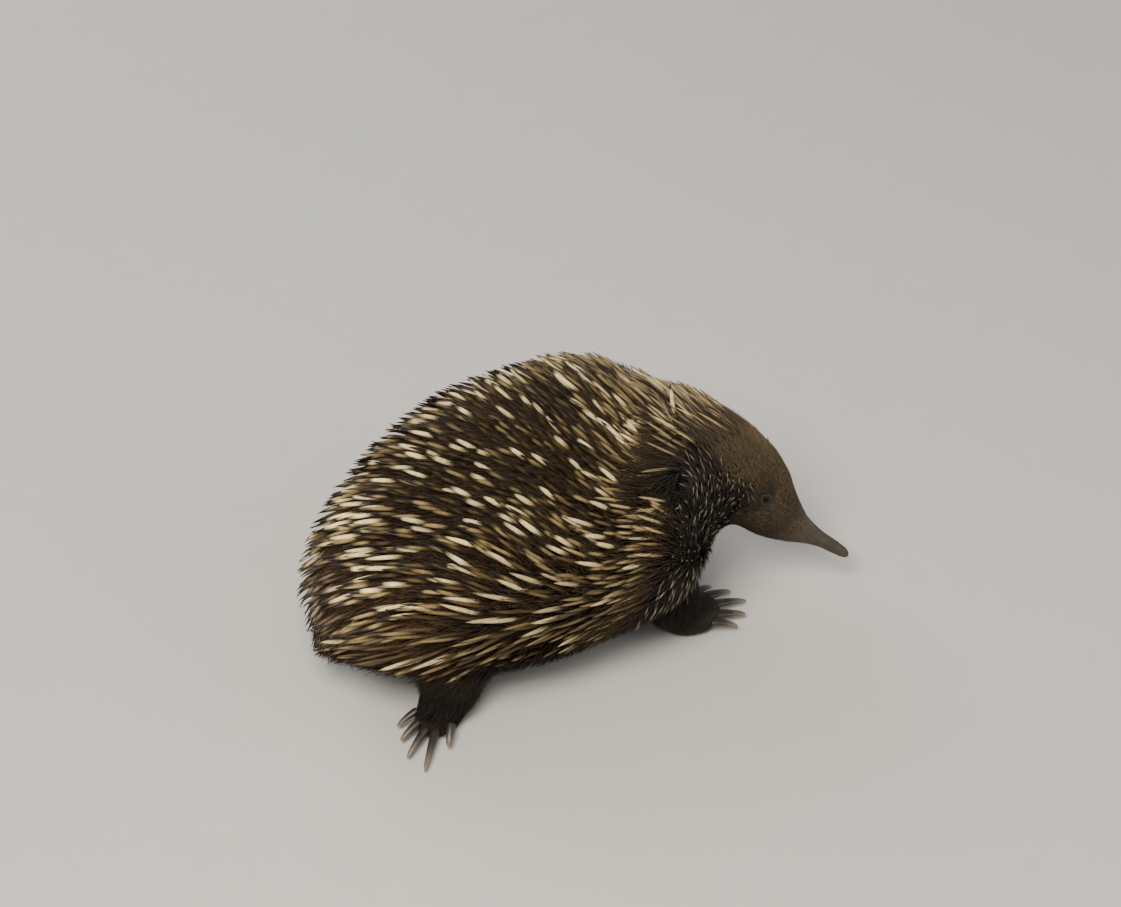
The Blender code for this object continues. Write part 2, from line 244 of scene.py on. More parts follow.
def outside(tree, points):
    """How far each point lies outside a closed surface, negative inside it."""
    result = np.empty(len(points))
    for i, point in enumerate(points.tolist()):
        near, normal, _face, distance = tree.find_nearest(point)
        result[i] = math.copysign(distance, (Vector(point) - near).dot(normal))
    return result


def node_middle(name):
    low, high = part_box(name)
    return np.array((low + high) / 2)


def zone(shares, name):
    """How much of a zone each point belongs to."""
    return shares[:, ZONES.index(name)]


def find_head():
    """The beak's tip and the head's own directions, from the eyes and the beak of the solids."""
    eyes = node_middle("eye_left"), node_middle("eye_right")
    middle = (eyes[0] + eyes[1]) / 2
    left = unit(eyes[0] - eyes[1])
    beak = points_of(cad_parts["beak"].data)
    tip = beak[size(beak - middle).argmax()]
    to_eyes = middle - tip
    to_eyes = unit(to_eyes - left * (to_eyes @ left))
    forward = -math.cos(EYE_ANGLE) * to_eyes + math.sin(EYE_ANGLE) * np.cross(left, to_eyes)
    ears = node_middle("ear_left"), node_middle("ear_right")
    return SimpleNamespace(
        tip=tip, forward=forward, left=left, up=np.cross(forward, left), eyes=eyes, ears=ears,
    )


HEAD = find_head()
EYE_RADIUS = (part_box("eye_left")[1].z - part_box("eye_left")[0].z) / 2
# Radius of the lids' opening over the eyeball's, and the lids' skin over the ball with its folds
EYE_OPENING = 0.72
LID_OVER_BALL = 0.40 * MM
LID_FOLD_SPACING = 1.5 * MM
LID_FOLD_HEIGHT = 0.20 * MM
# The ears' openings, which are found once the skin has been made. Each is a slit so many times taller than
# wide, inside a low rim.
EARS = []
EAR_TALLNESS = 2.2
EAR_HALF_WIDTH, EAR_DEPTH = 3.6 * MM, 9 * MM
EAR_RIM_AT, EAR_RIM_HEIGHT, EAR_RIM_WIDTH = 5.4 * MM, 2.0 * MM, 1.6 * MM
# Each nostril's place behind the tip and beside its middle, and its size; the mouth's slit under them
NOSTRIL_BACK, NOSTRIL_BESIDE = 4.2 * MM, 1.7 * MM
NOSTRIL_RADIUS, NOSTRIL_RIM_AT, NOSTRIL_DEPTH = 0.62 * MM, 1.25 * MM, 0.9 * MM
MOUTH_BELOW, MOUTH_WIDTH, MOUTH_DEPTH = 2.2 * MM, 0.45 * MM, 0.55 * MM
# The end of the short tail, and the way its hair hangs
TAIL_END = np.array((-0.180, 0.0, 0.045))
TAIL_LIE = np.array((-0.50, 0.0, -0.87))


def behind_tip(points):
    """Distance behind the beak's tip, along the head."""
    return (HEAD.tip - points) @ HEAD.forward


def above_beak(points):
    """Height over the beak's axis, square to the head."""
    return (points - HEAD.tip) @ HEAD.up


def middle_line(x):
    """Where the middle of the back lies across the body: it swings to the right towards the head."""
    return -0.042 * ease(0.0, 0.12, x)


def behind_spine_edge(points):
    """How far behind the front edge of the spines each point lies."""
    across = points[:, 1] - middle_line(points[:, 0])
    angle = np.degrees(np.arctan2(np.abs(across), points[:, 2] - TRUNK_AXIS_HEIGHT))
    edge = np.interp(angle, *zip(*SPINE_EDGE)) + np.interp(angle, *zip(*LEFT_REACH)) * (across > 0)
    return edge - points[:, 0]


def head_share(points):
    """1 on the head and 0 on the trunk and the chest."""
    return (1 - ease(0.150, 0.190, behind_tip(points))) * ease(-0.045, -0.015, above_beak(points))


def joined_flesh():
    """The flesh solids in one mesh, and the covering of each of its faces."""
    shape = bmesh.new()
    covering = []
    for name, kind in COVERING.items():
        shape.from_mesh(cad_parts[name].data)
        shape.faces.ensure_lookup_table()
        covering += [ZONES.index(kind)] * (len(shape.faces) - len(covering))
    for face, kind in zip(shape.faces, covering):
        face.material_index = kind
    bmesh.ops.remove_doubles(shape, verts=shape.verts, dist=1e-6)
    mesh = bpy.data.meshes.new("skin")
    shape.to_mesh(mesh)
    shape.free()
    return mesh


def zone_shares(mesh, flesh):
    """How much of each zone every point of the body belongs to."""
    tree = bvh_of(flesh)
    points, normals = points_of(mesh), normals_of(mesh)
    shares = np.zeros((len(points), len(ZONES)))
    for i, point in enumerate(points.tolist()):
        face = tree.find_nearest(point)[2]
        shares[i, flesh.polygons[face].material_index] = 1
    spiny, cheek, face, belly = (ZONES.index(z) for z in ("spiny", "cheek", "face", "belly"))
    behind = ease(-0.006, 0.008, behind_spine_edge(points))
    over_belly = ease(-0.80, -0.50, normals[:, 2])
    trunk = shares[:, spiny].copy()
    shares[:, spiny] = trunk * behind * over_belly
    shares[:, belly] += trunk * behind * (1 - over_belly)
    # The brown of the face runs back over the crown, and the head's sides behind the eyes are dark
    reach = np.interp(behind_tip(points), *zip(*BROWN_REACH))
    beside = np.abs((points - HEAD.tip) @ HEAD.left)
    over_beak = ease(-2 * MM, 8 * MM, above_beak(points))
    crown = (1 - ease(-4 * MM, 4 * MM, beside - reach)) * head_share(points) * over_beak
    sides = shares[:, face] * ease(0.088, 0.110, behind_tip(points)) * (1 - crown)
    shares[:, cheek] = trunk * (1 - behind) * (1 - crown) + sides
    shares[:, face] += trunk * (1 - behind) * crown - sides
    return spread(shares, edges_of(mesh), 5)


def sink_skin(mesh, depth):
    """Moves the surface inwards by the coat's depth, in small steps that keep it smooth."""
    steps = 12
    edges = edges_of(mesh)
    points = points_of(mesh)
    for _ in range(steps):
        points = points - normals_of(mesh) * depth[:, None] / steps
        eased = spread(points, edges, 1)
        loose = ease(1 * MM, 6 * MM, depth)[:, None]
        points = mix(points, eased, 0.15 + 0.6 * loose)
        set_points(mesh, points)


def refine(obj, wanted):
    """Divides the faces all of whose points are wanted."""
    select_only(obj)
    mesh = obj.data
    bpy.ops.object.mode_set(mode="EDIT")
    bpy.ops.mesh.select_all(action="DESELECT")
    bpy.ops.object.mode_set(mode="OBJECT")
    corners = read(mesh.loops, "vertex_index", kind=np.int32)
    starts = read(mesh.polygons, "loop_start", kind=np.int32)
    mesh.polygons.foreach_set("select", np.minimum.reduceat(wanted[corners], starts))
    bpy.ops.object.mode_set(mode="EDIT")
    bpy.ops.mesh.select_mode(type="FACE")
    bpy.ops.mesh.subdivide(number_cuts=1)
    bpy.ops.object.mode_set(mode="OBJECT")


def near_any(points, centres, radius):
    return np.min([size(points - centre) for centre in centres], axis=0) < radius


def eye_look(centre):
    """The direction in which an eye looks, straight out of the head, and the way to its front corner."""
    near = ENVELOPE.find_nearest(centre.tolist())[0]
    out = np.array((near - Vector(centre)).normalized())
    return out, unit(HEAD.forward - out * (HEAD.forward @ out))


def shape_eye(points, centre):
    """Opens the skin over an eyeball, lays it on the ball and folds it round the lids."""
    out, corner_way = eye_look(centre)
    rel = points - centre
    along = rel @ out
    flat = rel - along[:, None] * out
    # The opening is longer from corner to corner than it is high
    across = flat @ corner_way
    high = flat @ np.cross(out, corner_way)
    r = np.sqrt((across / 1.12) ** 2 + (high * 1.10) ** 2)
    opening = EYE_OPENING * EYE_RADIUS
    apart = size(flat)
    ball = np.sqrt(np.maximum(EYE_RADIUS**2 - np.minimum(apart, 0.93 * EYE_RADIUS) ** 2, 0))
    ripple = np.cos((r - opening) / LID_FOLD_SPACING * 2 * math.pi)
    fold = LID_FOLD_HEIGHT * ripple * hump(r, 5 * MM, 2.6 * MM)
    wanted = ball + np.where(r < opening, -1.4 * MM, LID_OVER_BALL)
    near_eye = (1 - ease(4.4 * MM, 11.5 * MM, r)) * (along > -7 * MM)
    moved = (wanted - along) * near_eye
    moved += fold * (1 - ease(8 * MM, 13 * MM, r)) * (along > -9 * MM) * (r > opening)
    return points + out * moved[:, None]


def find_ear(points, normals, middle):
    """Where the ear opens in the skin, outwards, tall and across."""
    out = unit(normals[size(points - middle) < 12 * MM].mean(0))
    tall = unit(np.array((0, 0, 1.0)) - out * out[2])
    rel = points - middle
    beside = size(rel - np.outer(rel @ out, out))
    along = (rel @ out)[(beside < 3 * MM) & (np.abs(rel @ out) < 18 * MM)]
    return SimpleNamespace(middle=middle + out * along.max(), out=out, tall=tall, wide=np.cross(tall, out))


def ear_distance(points, ear):
    """Distance from the ear's slit, which is taller than wide and slightly bent, and height over it."""
    rel = points - ear.middle
    high = rel @ ear.tall
    wide = rel @ ear.wide - 0.12 * high - 1.2 * MM * np.sin(high / (9 * MM) * math.pi)
    along = rel @ ear.out
    apart = np.sqrt((high / EAR_TALLNESS) ** 2 + wide**2)
    return np.where(np.abs(along) < 14 * MM, apart, 1.0), along


def shape_ear(points, ear):
    """A tall deep slit with a low fleshy rim."""
    apart, along = ear_distance(points, ear)
    rim = EAR_RIM_HEIGHT * hump(apart, EAR_RIM_AT, EAR_RIM_WIDTH)
    hole = -EAR_DEPTH * np.exp(-((apart / EAR_HALF_WIDTH) ** 3))
    return points + ear.out * ((rim + hole) * (apart < 12 * MM))[:, None]


def shape_beak_tip(points):
    """Nostrils on top of the tip and the small mouth under it."""
    back, high = behind_tip(points), above_beak(points)
    across = (points - HEAD.tip) @ HEAD.left
    push = np.zeros(len(points))
    for side in (-1, 1):
        # Each nostril is a hollow longer than wide, inside a slight rim
        apart = np.sqrt(((back - NOSTRIL_BACK) / 1.7) ** 2 + (across - side * NOSTRIL_BESIDE) ** 2)
        push -= NOSTRIL_DEPTH * hump(apart, 0, NOSTRIL_RADIUS) * (high > 0)
        push += 0.3 * MM * hump(apart, NOSTRIL_RIM_AT, 0.5 * MM) * (high > 0)
    push -= MOUTH_DEPTH * hump(high, -MOUTH_BELOW, MOUTH_WIDTH) * (1 - ease(8 * MM, 12 * MM, back))
    direction = unit(points - (HEAD.tip - np.outer(np.maximum(back, 3 * MM), HEAD.forward)))
    return points + direction * push[:, None]


def claw_line(name):
    """Root, tip and half width of a claw of the solids."""
    points = points_of(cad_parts[name].data)
    foot = node_middle("foot_" + name[5:-2])
    middle = (points.min(0) + points.max(0)) / 2
    flat = points[:, :2] - middle[:2]
    along = np.linalg.svd(flat, full_matrices=False)[2][0]
    along = np.array((*along, 0.0)) * np.sign(along @ (middle - foot)[:2])
    reach = (points - middle) @ along
    side = np.array((-along[1], along[0], 0.0))
    ends = [points[np.abs(reach - r) < 1.5 * MM].mean(0) for r in (reach.min(), reach.max())]
    half_width = np.abs((points - middle) @ side).max()
    return SimpleNamespace(root=ends[0], tip=ends[1], half_width=half_width)


CLAW_NAMES = ["claw_{}_{}".format(leg, toe) for leg in LEGS for toe in range(1, 6)]
CLAWS = {name: claw_line(name) for name in CLAW_NAMES}


def shape_toes(points):
    """A low ridge on the foot behind each claw and round its root."""
    for claw in CLAWS.values():
        along = unit(claw.tip - claw.root)
        rel = points - claw.root
        reach = rel @ along
        apart = size(rel - np.outer(reach, along))
        ridge = hump(apart, 0, 3.6 * MM) * ease(-15 * MM, -4 * MM, reach) * (reach < 6 * MM)
        outward = unit(rel - np.outer(reach, along) + 1e-9)
        points = points + outward * (1.1 * MM * ridge * ease(3 * MM, 6 * MM, points[:, 2]))[:, None]
    return points


def make_skin():
    """The body's one skin: the joined solids sunk by the coat's depth. Gives also the outline they had."""
    flesh = joined_flesh()
    obj = bpy.data.objects.new("skin", flesh.copy())
    bpy.context.scene.collection.objects.link(obj)
    apply_modifier(obj, "REMESH", mode="VOXEL", voxel_size=SKIN_VOXEL)
    mesh = obj.data
    set_points(mesh, spread(points_of(mesh), edges_of(mesh), 3))
    envelope = bvh_of(mesh)
    shares = zone_shares(mesh, flesh)
    depth = shares @ np.array([COAT_DEPTH[z] for z in ZONES])
    points = points_of(mesh)
    # The spines lie flatter over the skin towards their front edge and the crown
    edge = 1 - ease(-0.005, 0.060, behind_spine_edge(points))
    depth -= zone(shares, "spiny") * (13 * MM * edge + 5 * MM * ease(0.045, 0.115, points[:, 0]))
    # The bare beak passes into fur over the length of the snout, and round the eyes the coat is thin
    depth *= ease(0.030, 0.095, behind_tip(points)) * 0.98 + 0.02
    for eye in HEAD.eyes:
        depth = mix(depth, 1.8 * MM, 1 - ease(9 * MM, 20 * MM, size(points - eye)))
    # The soles are bare and lie on the ground
    depth *= ease(0.5 * MM, 6 * MM, points[:, 2])
    depth = spread(depth, edges_of(mesh), 14)
    for ear in HEAD.ears:
        depth = mix(depth, 3 * MM, 1 - ease(8 * MM, 20 * MM, size(points - ear)))
    for name, share in zip(ZONES, shares.T):
        keep_values(mesh, "zone_" + name, share)
    sink_skin(mesh, depth)
    unwrap(obj)
    return obj, envelope


def unwrap(obj):
    """Lays the skin out flat, for the colours baked on it and on its coat."""
    select_only(obj)
    bpy.ops.object.mode_set(mode="EDIT")
    bpy.ops.mesh.select_all(action="SELECT")
    bpy.ops.uv.smart_project(angle_limit=math.radians(66), island_margin=0.002)
    bpy.ops.object.mode_set(mode="OBJECT")


def detail_skin(obj):
    """Finer faces and worked detail on the head and the feet."""
    mesh = obj.data
    points = points_of(mesh)
    refine(obj, (behind_tip(points) < 0.115) & (above_beak(points) > -0.05) | (points[:, 2] < 0.012))
    points = points_of(mesh)
    beak_tip = HEAD.tip - HEAD.forward * 6 * MM
    near_ears = near_any(points, HEAD.ears, 17 * MM)
    refine(obj, near_any(points, [*HEAD.eyes, beak_tip], 15 * MM) | near_ears)
    points = points_of(mesh)
    refine(obj, near_any(points, [beak_tip], 10 * MM) | near_any(points, HEAD.eyes, 9 * MM))
    edges = edges_of(mesh)
    points = points_of(mesh)
    eased = spread(points, edges, 6)
    points = mix(points, eased, (0.45 + 0.55 * ease(0.020, 0.045, behind_tip(points)))[:, None])
    for eye in HEAD.eyes:
        points = shape_eye(points, eye)
    normals = normals_of(mesh)
    for middle in HEAD.ears:
        EARS.append(find_ear(points, normals, middle))
        points = shape_ear(points, EARS[-1])
    points = shape_beak_tip(points)
    points = shape_toes(points)
    # The soles lie flat on the floor
    points[:, 2] = np.maximum(points[:, 2] - 0.6 * MM * (1 - ease(1 * MM, 5 * MM, points[:, 2])), 0)
    set_points(mesh, points)
    mesh.shade_smooth()


def table_value(rows, columns, table, row, column):
    """Values between those of a table, for given places along its rows and columns."""
    table = np.asarray(table, float)
    at = np.interp(row, rows, np.arange(len(rows)))
    low = np.minimum(at.astype(int), len(rows) - 2)
    by_row = np.stack([np.interp(column, columns, values) for values in table])
    index = np.arange(len(row))
    share = at - low
    return by_row[low, index] * (1 - share) + by_row[low + 1, index] * share


def tangent(vectors, normals):
    return vectors - normals * dot(vectors, normals)[:, None]


def lie_of_coat(points, normals, shares):
    """The direction in which the hair at each point of the skin leans."""
    backward = tangent(np.array([(-1.0, 0, 0)]), normals)
    length = size(backward)
    turn = np.radians(table_value(LIE_PLACES, LIE_FACING, LIE_TURNS, points[:, 0], normals[:, 2]))
    # Left of the back's ridge the coat turns the other way
    turn *= 1 - 1.7 * ease(0.20, 0.98, normals[:, 1])
    turn *= 1 - ease(0.40, 0.80, -normals[:, 0])
    trunk = turned(unit(backward), normals, -turn) * length[:, None]
    # At the rump the coat hangs over the tail
    down = tangent(np.array([(0, 0, -1.0)]), normals)
    to_tail = tangent(TAIL_END - points, normals)
    trunk += to_tail / 0.06 * (0.5 * ease(0.45, 0.90, -normals[:, 0]))[:, None]
    trunk += down * (0.40 * ease(0.55, 0.95, -normals[:, 0]))[:, None]
    trunk = mix(trunk, tangent(TAIL_LIE, normals), zone(shares, "tail")[:, None])
    head = tangent(-HEAD.forward[None] + 0.15 * HEAD.up, normals)
    # On the cheeks the bristles rise towards the crown
    rising = tangent(-HEAD.forward[None] + 0.5 * HEAD.up, normals)
    cheek = (zone(shares, "cheek") * head_share(points))[:, None]
    limb = (zone(shares, "leg") + zone(shares, "foot"))[:, None]
    face = (zone(shares, "face") + zone(shares, "beak"))[:, None]
    other = 1 - np.clip(limb + face + cheek, 0, 1)
    return trunk * other + head * face + rising * cheek + (0.9 * down + 0.4 * backward) * limb


# Colours of the coat at the root and the tip of the hair
FUR_COLOURS = {
    "spiny": ("100a05", "44331d"), "cheek": ("0c0906", "2b231a"), "face": ("2a2117", "66553b"),
    "beak": ("3e372b", "4a4336"), "ear": ("0a0704", "1a140d"), "belly": ("120d08", "2f2618"),
    "tail": ("1c140b", "5c4930"), "leg": ("110d08", "2b2319"), "foot": ("18120c", "3a2f23"),
}
REAR_FUR = ("21160d", "6e5238")


def fur_colours(points, shares):
    """Colours of the hair's root and tip at points of the body."""
    ends = []
    rear = (0.8 * ease(0.085, 0.145, -points[:, 0]) * zone(shares, "spiny"))[:, None]
    for end in (0, 1):
        colour = shares @ np.array([linear(FUR_COLOURS[z][end]) for z in ZONES])
        colour = mix(colour, linear(REAR_FUR[end]), rear)
        # Painted shade: the face darkens downwards
        face = zone(shares, "face") + 0.5 * zone(shares, "beak")
        low = 1 - ease(-0.022, 0.010, above_beak(points))
        colour *= (1 - 0.5 * face * low)[:, None]
        # Painted shade: the coat, and the skin that takes its colour, darken into each ear's slit
        for ear in EARS:
            colour *= (0.40 + 0.60 * ease(3 * MM, 8 * MM, ear_distance(points, ear)[0]))[:, None]
        for eye in HEAD.eyes:
            colour *= (0.26 + 0.74 * ease(4.5 * MM, 13 * MM, size(points - eye)))[:, None]
        colour *= (1 + 0.22 * drift(points, 0.022, 5 + end) + 0.14 * drift(points, 0.007, 9))[:, None]
        ends.append(np.clip(colour, 0, 1))
    return ends


def read_surface(obj, envelope):
    """What the coat needs to know of the skin, as arrays over its points and its triangles."""
    mesh = obj.data
    mesh.calc_loop_triangles()
    tris = read(mesh.loop_triangles, "vertices", 3, np.int32)
    loops = read(mesh.loop_triangles, "loops", 3, np.int32)
    points, edges = points_of(mesh), edges_of(mesh)
    normals = unit(spread(normals_of(mesh), edges, 8))
    shares = np.stack([read(mesh.attributes["zone_" + z].data, "value") for z in ZONES], 1)
    shares /= np.maximum(shares.sum(1, keepdims=True), 1e-6)
    cross = np.cross(points[tris[:, 1]] - points[tris[:, 0]], points[tris[:, 2]] - points[tris[:, 0]])
    return SimpleNamespace(
        points=points, normals=normals, shares=shares, tris=tris,
        area=size(cross) / 2,
        uv=read(mesh.uv_layers[0].data, "uv", 2)[loops],
        depth=np.maximum(-outside(envelope, points), 0.3 * MM),
        flow=spread(lie_of_coat(points, normals, shares), edges, 40),
    )


def scatter(surface, density, rng):
    """Roots spread evenly over the skin, so many to the square metre, with the skin's values there."""
    weight = surface.area * density[surface.tris].mean(1)
    total = np.cumsum(weight)
    count = int(total[-1])
    picks = (np.arange(count) + rng.random(count)) / count * total[-1]
    face = np.searchsorted(total, picks)
    root = np.sqrt(rng.random(count))
    split = rng.random(count)
    shares = np.stack((1 - root, root * (1 - split), root * split), 1)[:, :, None]
    corners = surface.tris[face]

    def there(values):
        return (values[corners] * shares).sum(1)

    return SimpleNamespace(
        points=there(surface.points), normals=unit(there(surface.normals)), shares=there(surface.shares),
        depth=there(surface.depth[:, None])[:, 0], flow=there(surface.flow),
        uv=(surface.uv[face] * shares).sum(1),
    )


def chosen(hairs, keep):
    """Those of the hairs that are kept, with all that is known of them."""
    return SimpleNamespace(**{key: value[keep] for key, value in vars(hairs).items()})


def turned(vectors, axes, angles):
    """Vectors turned about their axes, which are square to them."""
    return vectors * np.cos(angles)[:, None] + np.cross(axes, vectors) * np.sin(angles)[:, None]


def hair_paths(hairs, stations):
    """Points along each hair, with its own side and top directions there.

    A hair leaves the skin steeply and bends over: height is how far its tip stands above the skin.
    """
    lean = turned(unit(tangent(hairs.flow, hairs.normals)), hairs.normals, hairs.sway)
    slope = np.clip(hairs.height / hairs.length, -0.25, 0.9)
    first = np.clip(slope + hairs.bend, -0.1, 0.97)[:, None]
    last = np.clip(2 * slope - first[:, 0], -0.7, 0.97)[:, None]
    start = lean * np.sqrt(1 - first**2) + hairs.normals * first
    end = lean * np.sqrt(1 - last**2) + hairs.normals * last
    side = np.cross(hairs.normals, lean)
    s = np.asarray(stations)[None, :, None]
    path = (s - s * s / 2) * start[:, None] + s * s / 2 * end[:, None]
    path = hairs.points[:, None] + path * hairs.length[:, None, None]
    direction = unit((1 - s) * start[:, None] + s * end[:, None])
    side = np.broadcast_to(side[:, None], direction.shape)
    return path, side, np.cross(direction, side)


def tips_outside(hairs):
    """How far the tips stand outside the coat's outline, negative inside it."""
    return outside(ENVELOPE, hair_paths(hairs, (1.0,))[0][:, 0])


def fit_heights(hairs, below, rounds):
    """Raises or lowers the hairs until their tips lie the given distance below the coat's outline."""
    most = np.minimum(0.88 * hairs.length, 1.15 * hairs.depth + MM)
    for _ in range(rounds):
        gap = tips_outside(hairs) + below
        hairs.height = np.clip(hairs.height - gap * 0.9, -0.25 * hairs.length, most)


def tube_faces(sides, rings):
    """Triangles of one closed hair: rings of points and then its tip."""
    faces = [(0, k + 1, k) for k in range(1, sides - 1)]
    for ring in range(rings - 1):
        for k in range(sides):
            a, b = ring * sides + k, ring * sides + (k + 1) % sides
            faces += [(a, b, b + sides), (a, b + sides, a + sides)]
    last = (rings - 1) * sides
    faces += [(last + k, last + (k + 1) % sides, rings * sides) for k in range(sides)]
    return np.array(faces)


def hair_mesh(name, hairs, colours, form):
    """One mesh of many hairs of one form. Colours holds one for each hair and each place along it."""
    path, side, top = hair_paths(hairs, form.stations)
    path[..., 2] = np.maximum(path[..., 2], form.lowest)
    rings, sides = len(form.stations) - 1, form.sides
    angles = (math.pi / 2 + 2 * math.pi * np.arange(sides) / sides)[:, None]
    half = (hairs.radius[:, None] * np.array(form.profile))[:, :rings, None, None]
    around = side[:, :rings, None] * (np.cos(angles) * half)
    around = around + top[:, :rings, None] * (np.sin(angles) * (half * form.flatness))
    body = path[:, :rings, None] + around
    count = len(path)
    points = np.concatenate((body.reshape(count, -1, 3), path[:, rings:]), 1)
    per_hair = points.shape[1]
    faces = tube_faces(sides, rings)
    faces = (faces[None] + np.arange(count)[:, None, None] * per_hair).reshape(-1, 3)
    ring_of = np.concatenate((np.repeat(np.arange(rings), sides), [rings]))
    across = np.concatenate((np.tile((np.arange(sides) + 0.5) / sides - 0.5, rings), [0.0]))
    along = np.array(form.stations)[ring_of] - 0.5
    offset = np.stack((across * form.patch[0], along * form.patch[1]), 1)
    uv = (hairs.uv[:, None] + offset[None]).reshape(-1, 2)
    colour = colours[:, ring_of].reshape(-1, 3)
    return triangle_mesh(name, points.reshape(-1, 3), faces, uv, colour)


def triangle_mesh(name, points, faces, uv, colour):
    mesh = bpy.data.meshes.new(name)
    mesh.vertices.add(len(points))
    mesh.vertices.foreach_set("co", points.astype(np.float32).ravel())
    mesh.loops.add(faces.size)
    mesh.loops.foreach_set("vertex_index", faces.astype(np.int32).ravel())
    mesh.polygons.add(len(faces))
    mesh.polygons.foreach_set("loop_start", np.arange(0, faces.size, 3, dtype=np.int32))
    mesh.update(calc_edges=True)
    layer = mesh.uv_layers.new(name="OFBake")
    layer.data.foreach_set("uv", uv[faces.ravel()].astype(np.float32).ravel())
    keep_colours(mesh, colour)
    mesh.shade_smooth()
    obj = bpy.data.objects.new(name, mesh)
    bpy.context.scene.collection.objects.link(obj)
    return obj


# Tufts to the square centimetre, length, width, share of the coat's depth that they fill, and bend
TUFTS = {
    "spiny": (50, 27, 0.90, 0.55, 0.14), "cheek": (66, 14, 0.60, 0.72, 0.14),
    "face": (150, 8.5, 0.40, 0.50, 0.04), "beak": (40, 4, 0.30, 0.6, 0.02),
    "ear": (60, 6, 0.45, 0.9, 0.1), "belly": (38, 17, 0.90, 0.8, 0.2), "tail": (50, 20, 0.90, 0.85, 0.2),
    "leg": (66, 13, 0.66, 0.75, 0.12), "foot": (95, 7, 0.50, 0.7, 0.08),
}
# Forms of hair: places along it, its half width and its lightness there, height over width, sides, the patch
# of the unwrap that each hair takes its baked colour from, and the height over the floor that none dips below
LONG_TUFT = SimpleNamespace(
    stations=(0.0, 0.34, 0.7, 1.0), profile=(0.8, 1.0, 0.72, 0.0), light=(0.0, 0.35, 0.8, 1.0),
    flatness=0.55, sides=3, patch=(3 * MM, 3 * MM), lowest=0.7 * MM,
)
SHORT_TUFT = SimpleNamespace(
    stations=(0.0, 0.5, 1.0), profile=(0.8, 0.9, 0.0), light=(0.0, 0.55, 1.0),
    flatness=0.55, sides=3, patch=(3 * MM, 3 * MM), lowest=0.7 * MM,
)
BRISTLE = SimpleNamespace(
    stations=(0.0, 0.35, 0.7, 1.0), profile=(0.8, 1.0, 0.8, 0.0), light=(0.10, 0.60, 1.0, 0.7),
    flatness=1.0, sides=5, patch=(3 * MM, 3 * MM), lowest=0.7 * MM,
)
SPINE = SimpleNamespace(
    stations=(0.0, 0.15, 0.34, 0.48, 0.60, 0.70, 0.79, 0.87, 0.94, 1.0),
    profile=(0.50, 0.70, 0.90, 1.0, 1.0, 0.92, 0.76, 0.54, 0.28, 0.0),
    flatness=0.9, sides=6, patch=(3 * MM, 4 * MM), lowest=3 * MM,
)
BRISTLE_GREY = "857861"
SHORT_COATED = ("fur_neck", "fur_face", "fur_limbs")
COAT_PIECES = ("fur_rump", "fur_back", "fur_shoulders", "fur_neck", "fur_face", "fur_underside", "fur_limbs")
MOST_TUFTS = 12000


def zone_values(shares, column):
    """A column of TUFTS for points that belong to several zones."""
    return shares @ np.array([TUFTS[z][column] for z in ZONES], float)


def grow_fur(surface):
    """The fur of the whole body, in pieces small enough to handle."""
    rng = np.random.default_rng(11)
    density = zone_values(surface.shares, 0) * 1e4
    density *= bare_places(surface.points)
    tufts = scatter(surface, density, rng)
    count = len(tufts.points)
    vary = rng.random((count, 6))
    wild = rng.normal(size=count)
    length = zone_values(tufts.shares, 1) * MM * (0.72 + 0.5 * vary[:, 0])
    # The coat shortens towards the bare beak and round the eyes
    thin = ease(0.034, 0.100, behind_tip(tufts.points))
    for eye in HEAD.eyes:
        thin = np.minimum(thin, ease(4 * MM, 20 * MM, size(tufts.points - eye)))
    length *= 0.35 + 0.65 * thin
    filled = zone_values(tufts.shares, 3) * (0.7 + 0.45 * vary[:, 2])
    tufts.length = length
    tufts.radius = zone_values(tufts.shares, 2) * MM * (0.7 + 0.6 * vary[:, 1]) * (0.55 + 0.45 * thin) / 2
    tufts.bend = zone_values(tufts.shares, 4) * (0.6 + 0.8 * vary[:, 3])
    tufts.sway = 0.20 * wild + 0.30 * drift(tufts.points, 0.012, 21)
    tufts.height = np.minimum(tufts.depth * filled, 0.8 * length)
    fit_heights(tufts, tufts.depth * (1 - filled), 1)
    tufts.first, tufts.last = fur_colours(tufts.points, tufts.shares)
    tufts.tone = 0.6 + 0.9 * vary[:, 4] ** 2
    # Where the coat's lie turns too sharply for a tuft to lie down, none is set
    lying, piece_of = tips_outside(tufts) < 3 * MM, coat_pieces(tufts)
    made = []
    for name in COAT_PIECES:
        form = SHORT_TUFT if name in SHORT_COATED else LONG_TUFT
        light = np.array(form.light)[None, :, None]
        members = np.flatnonzero(lying & (piece_of == name))
        parts = math.ceil(len(members) / MOST_TUFTS)
        for part, index in enumerate(np.array_split(members, parts)):
            own = chosen(tufts, index)
            colours = mix(own.first[:, None], own.last[:, None], light) * own.tone[:, None, None]
            label = name if parts == 1 else "{}_{}".format(name, part + 1)
            made.append(hair_mesh(label, own, colours, form))
    return made


def coat_pieces(roots):
    """Which piece of the coat each root belongs to."""
    main, x = np.array(ZONES)[roots.shares.argmax(1)], roots.points[:, 0]
    piece = np.full(len(x), "fur_back", "<U16")
    piece[x < -0.075] = "fur_rump"
    piece[x > 0.010] = "fur_shoulders"
    piece[(main == "spiny") & (x > 0.060) | (main == "cheek")] = "fur_neck"
    piece[np.isin(main, ("face", "beak", "ear"))] = "fur_face"
    piece[np.isin(main, ("belly", "tail"))] = "fur_underside"
    piece[np.isin(main, ("leg", "foot"))] = "fur_limbs"
    return piece


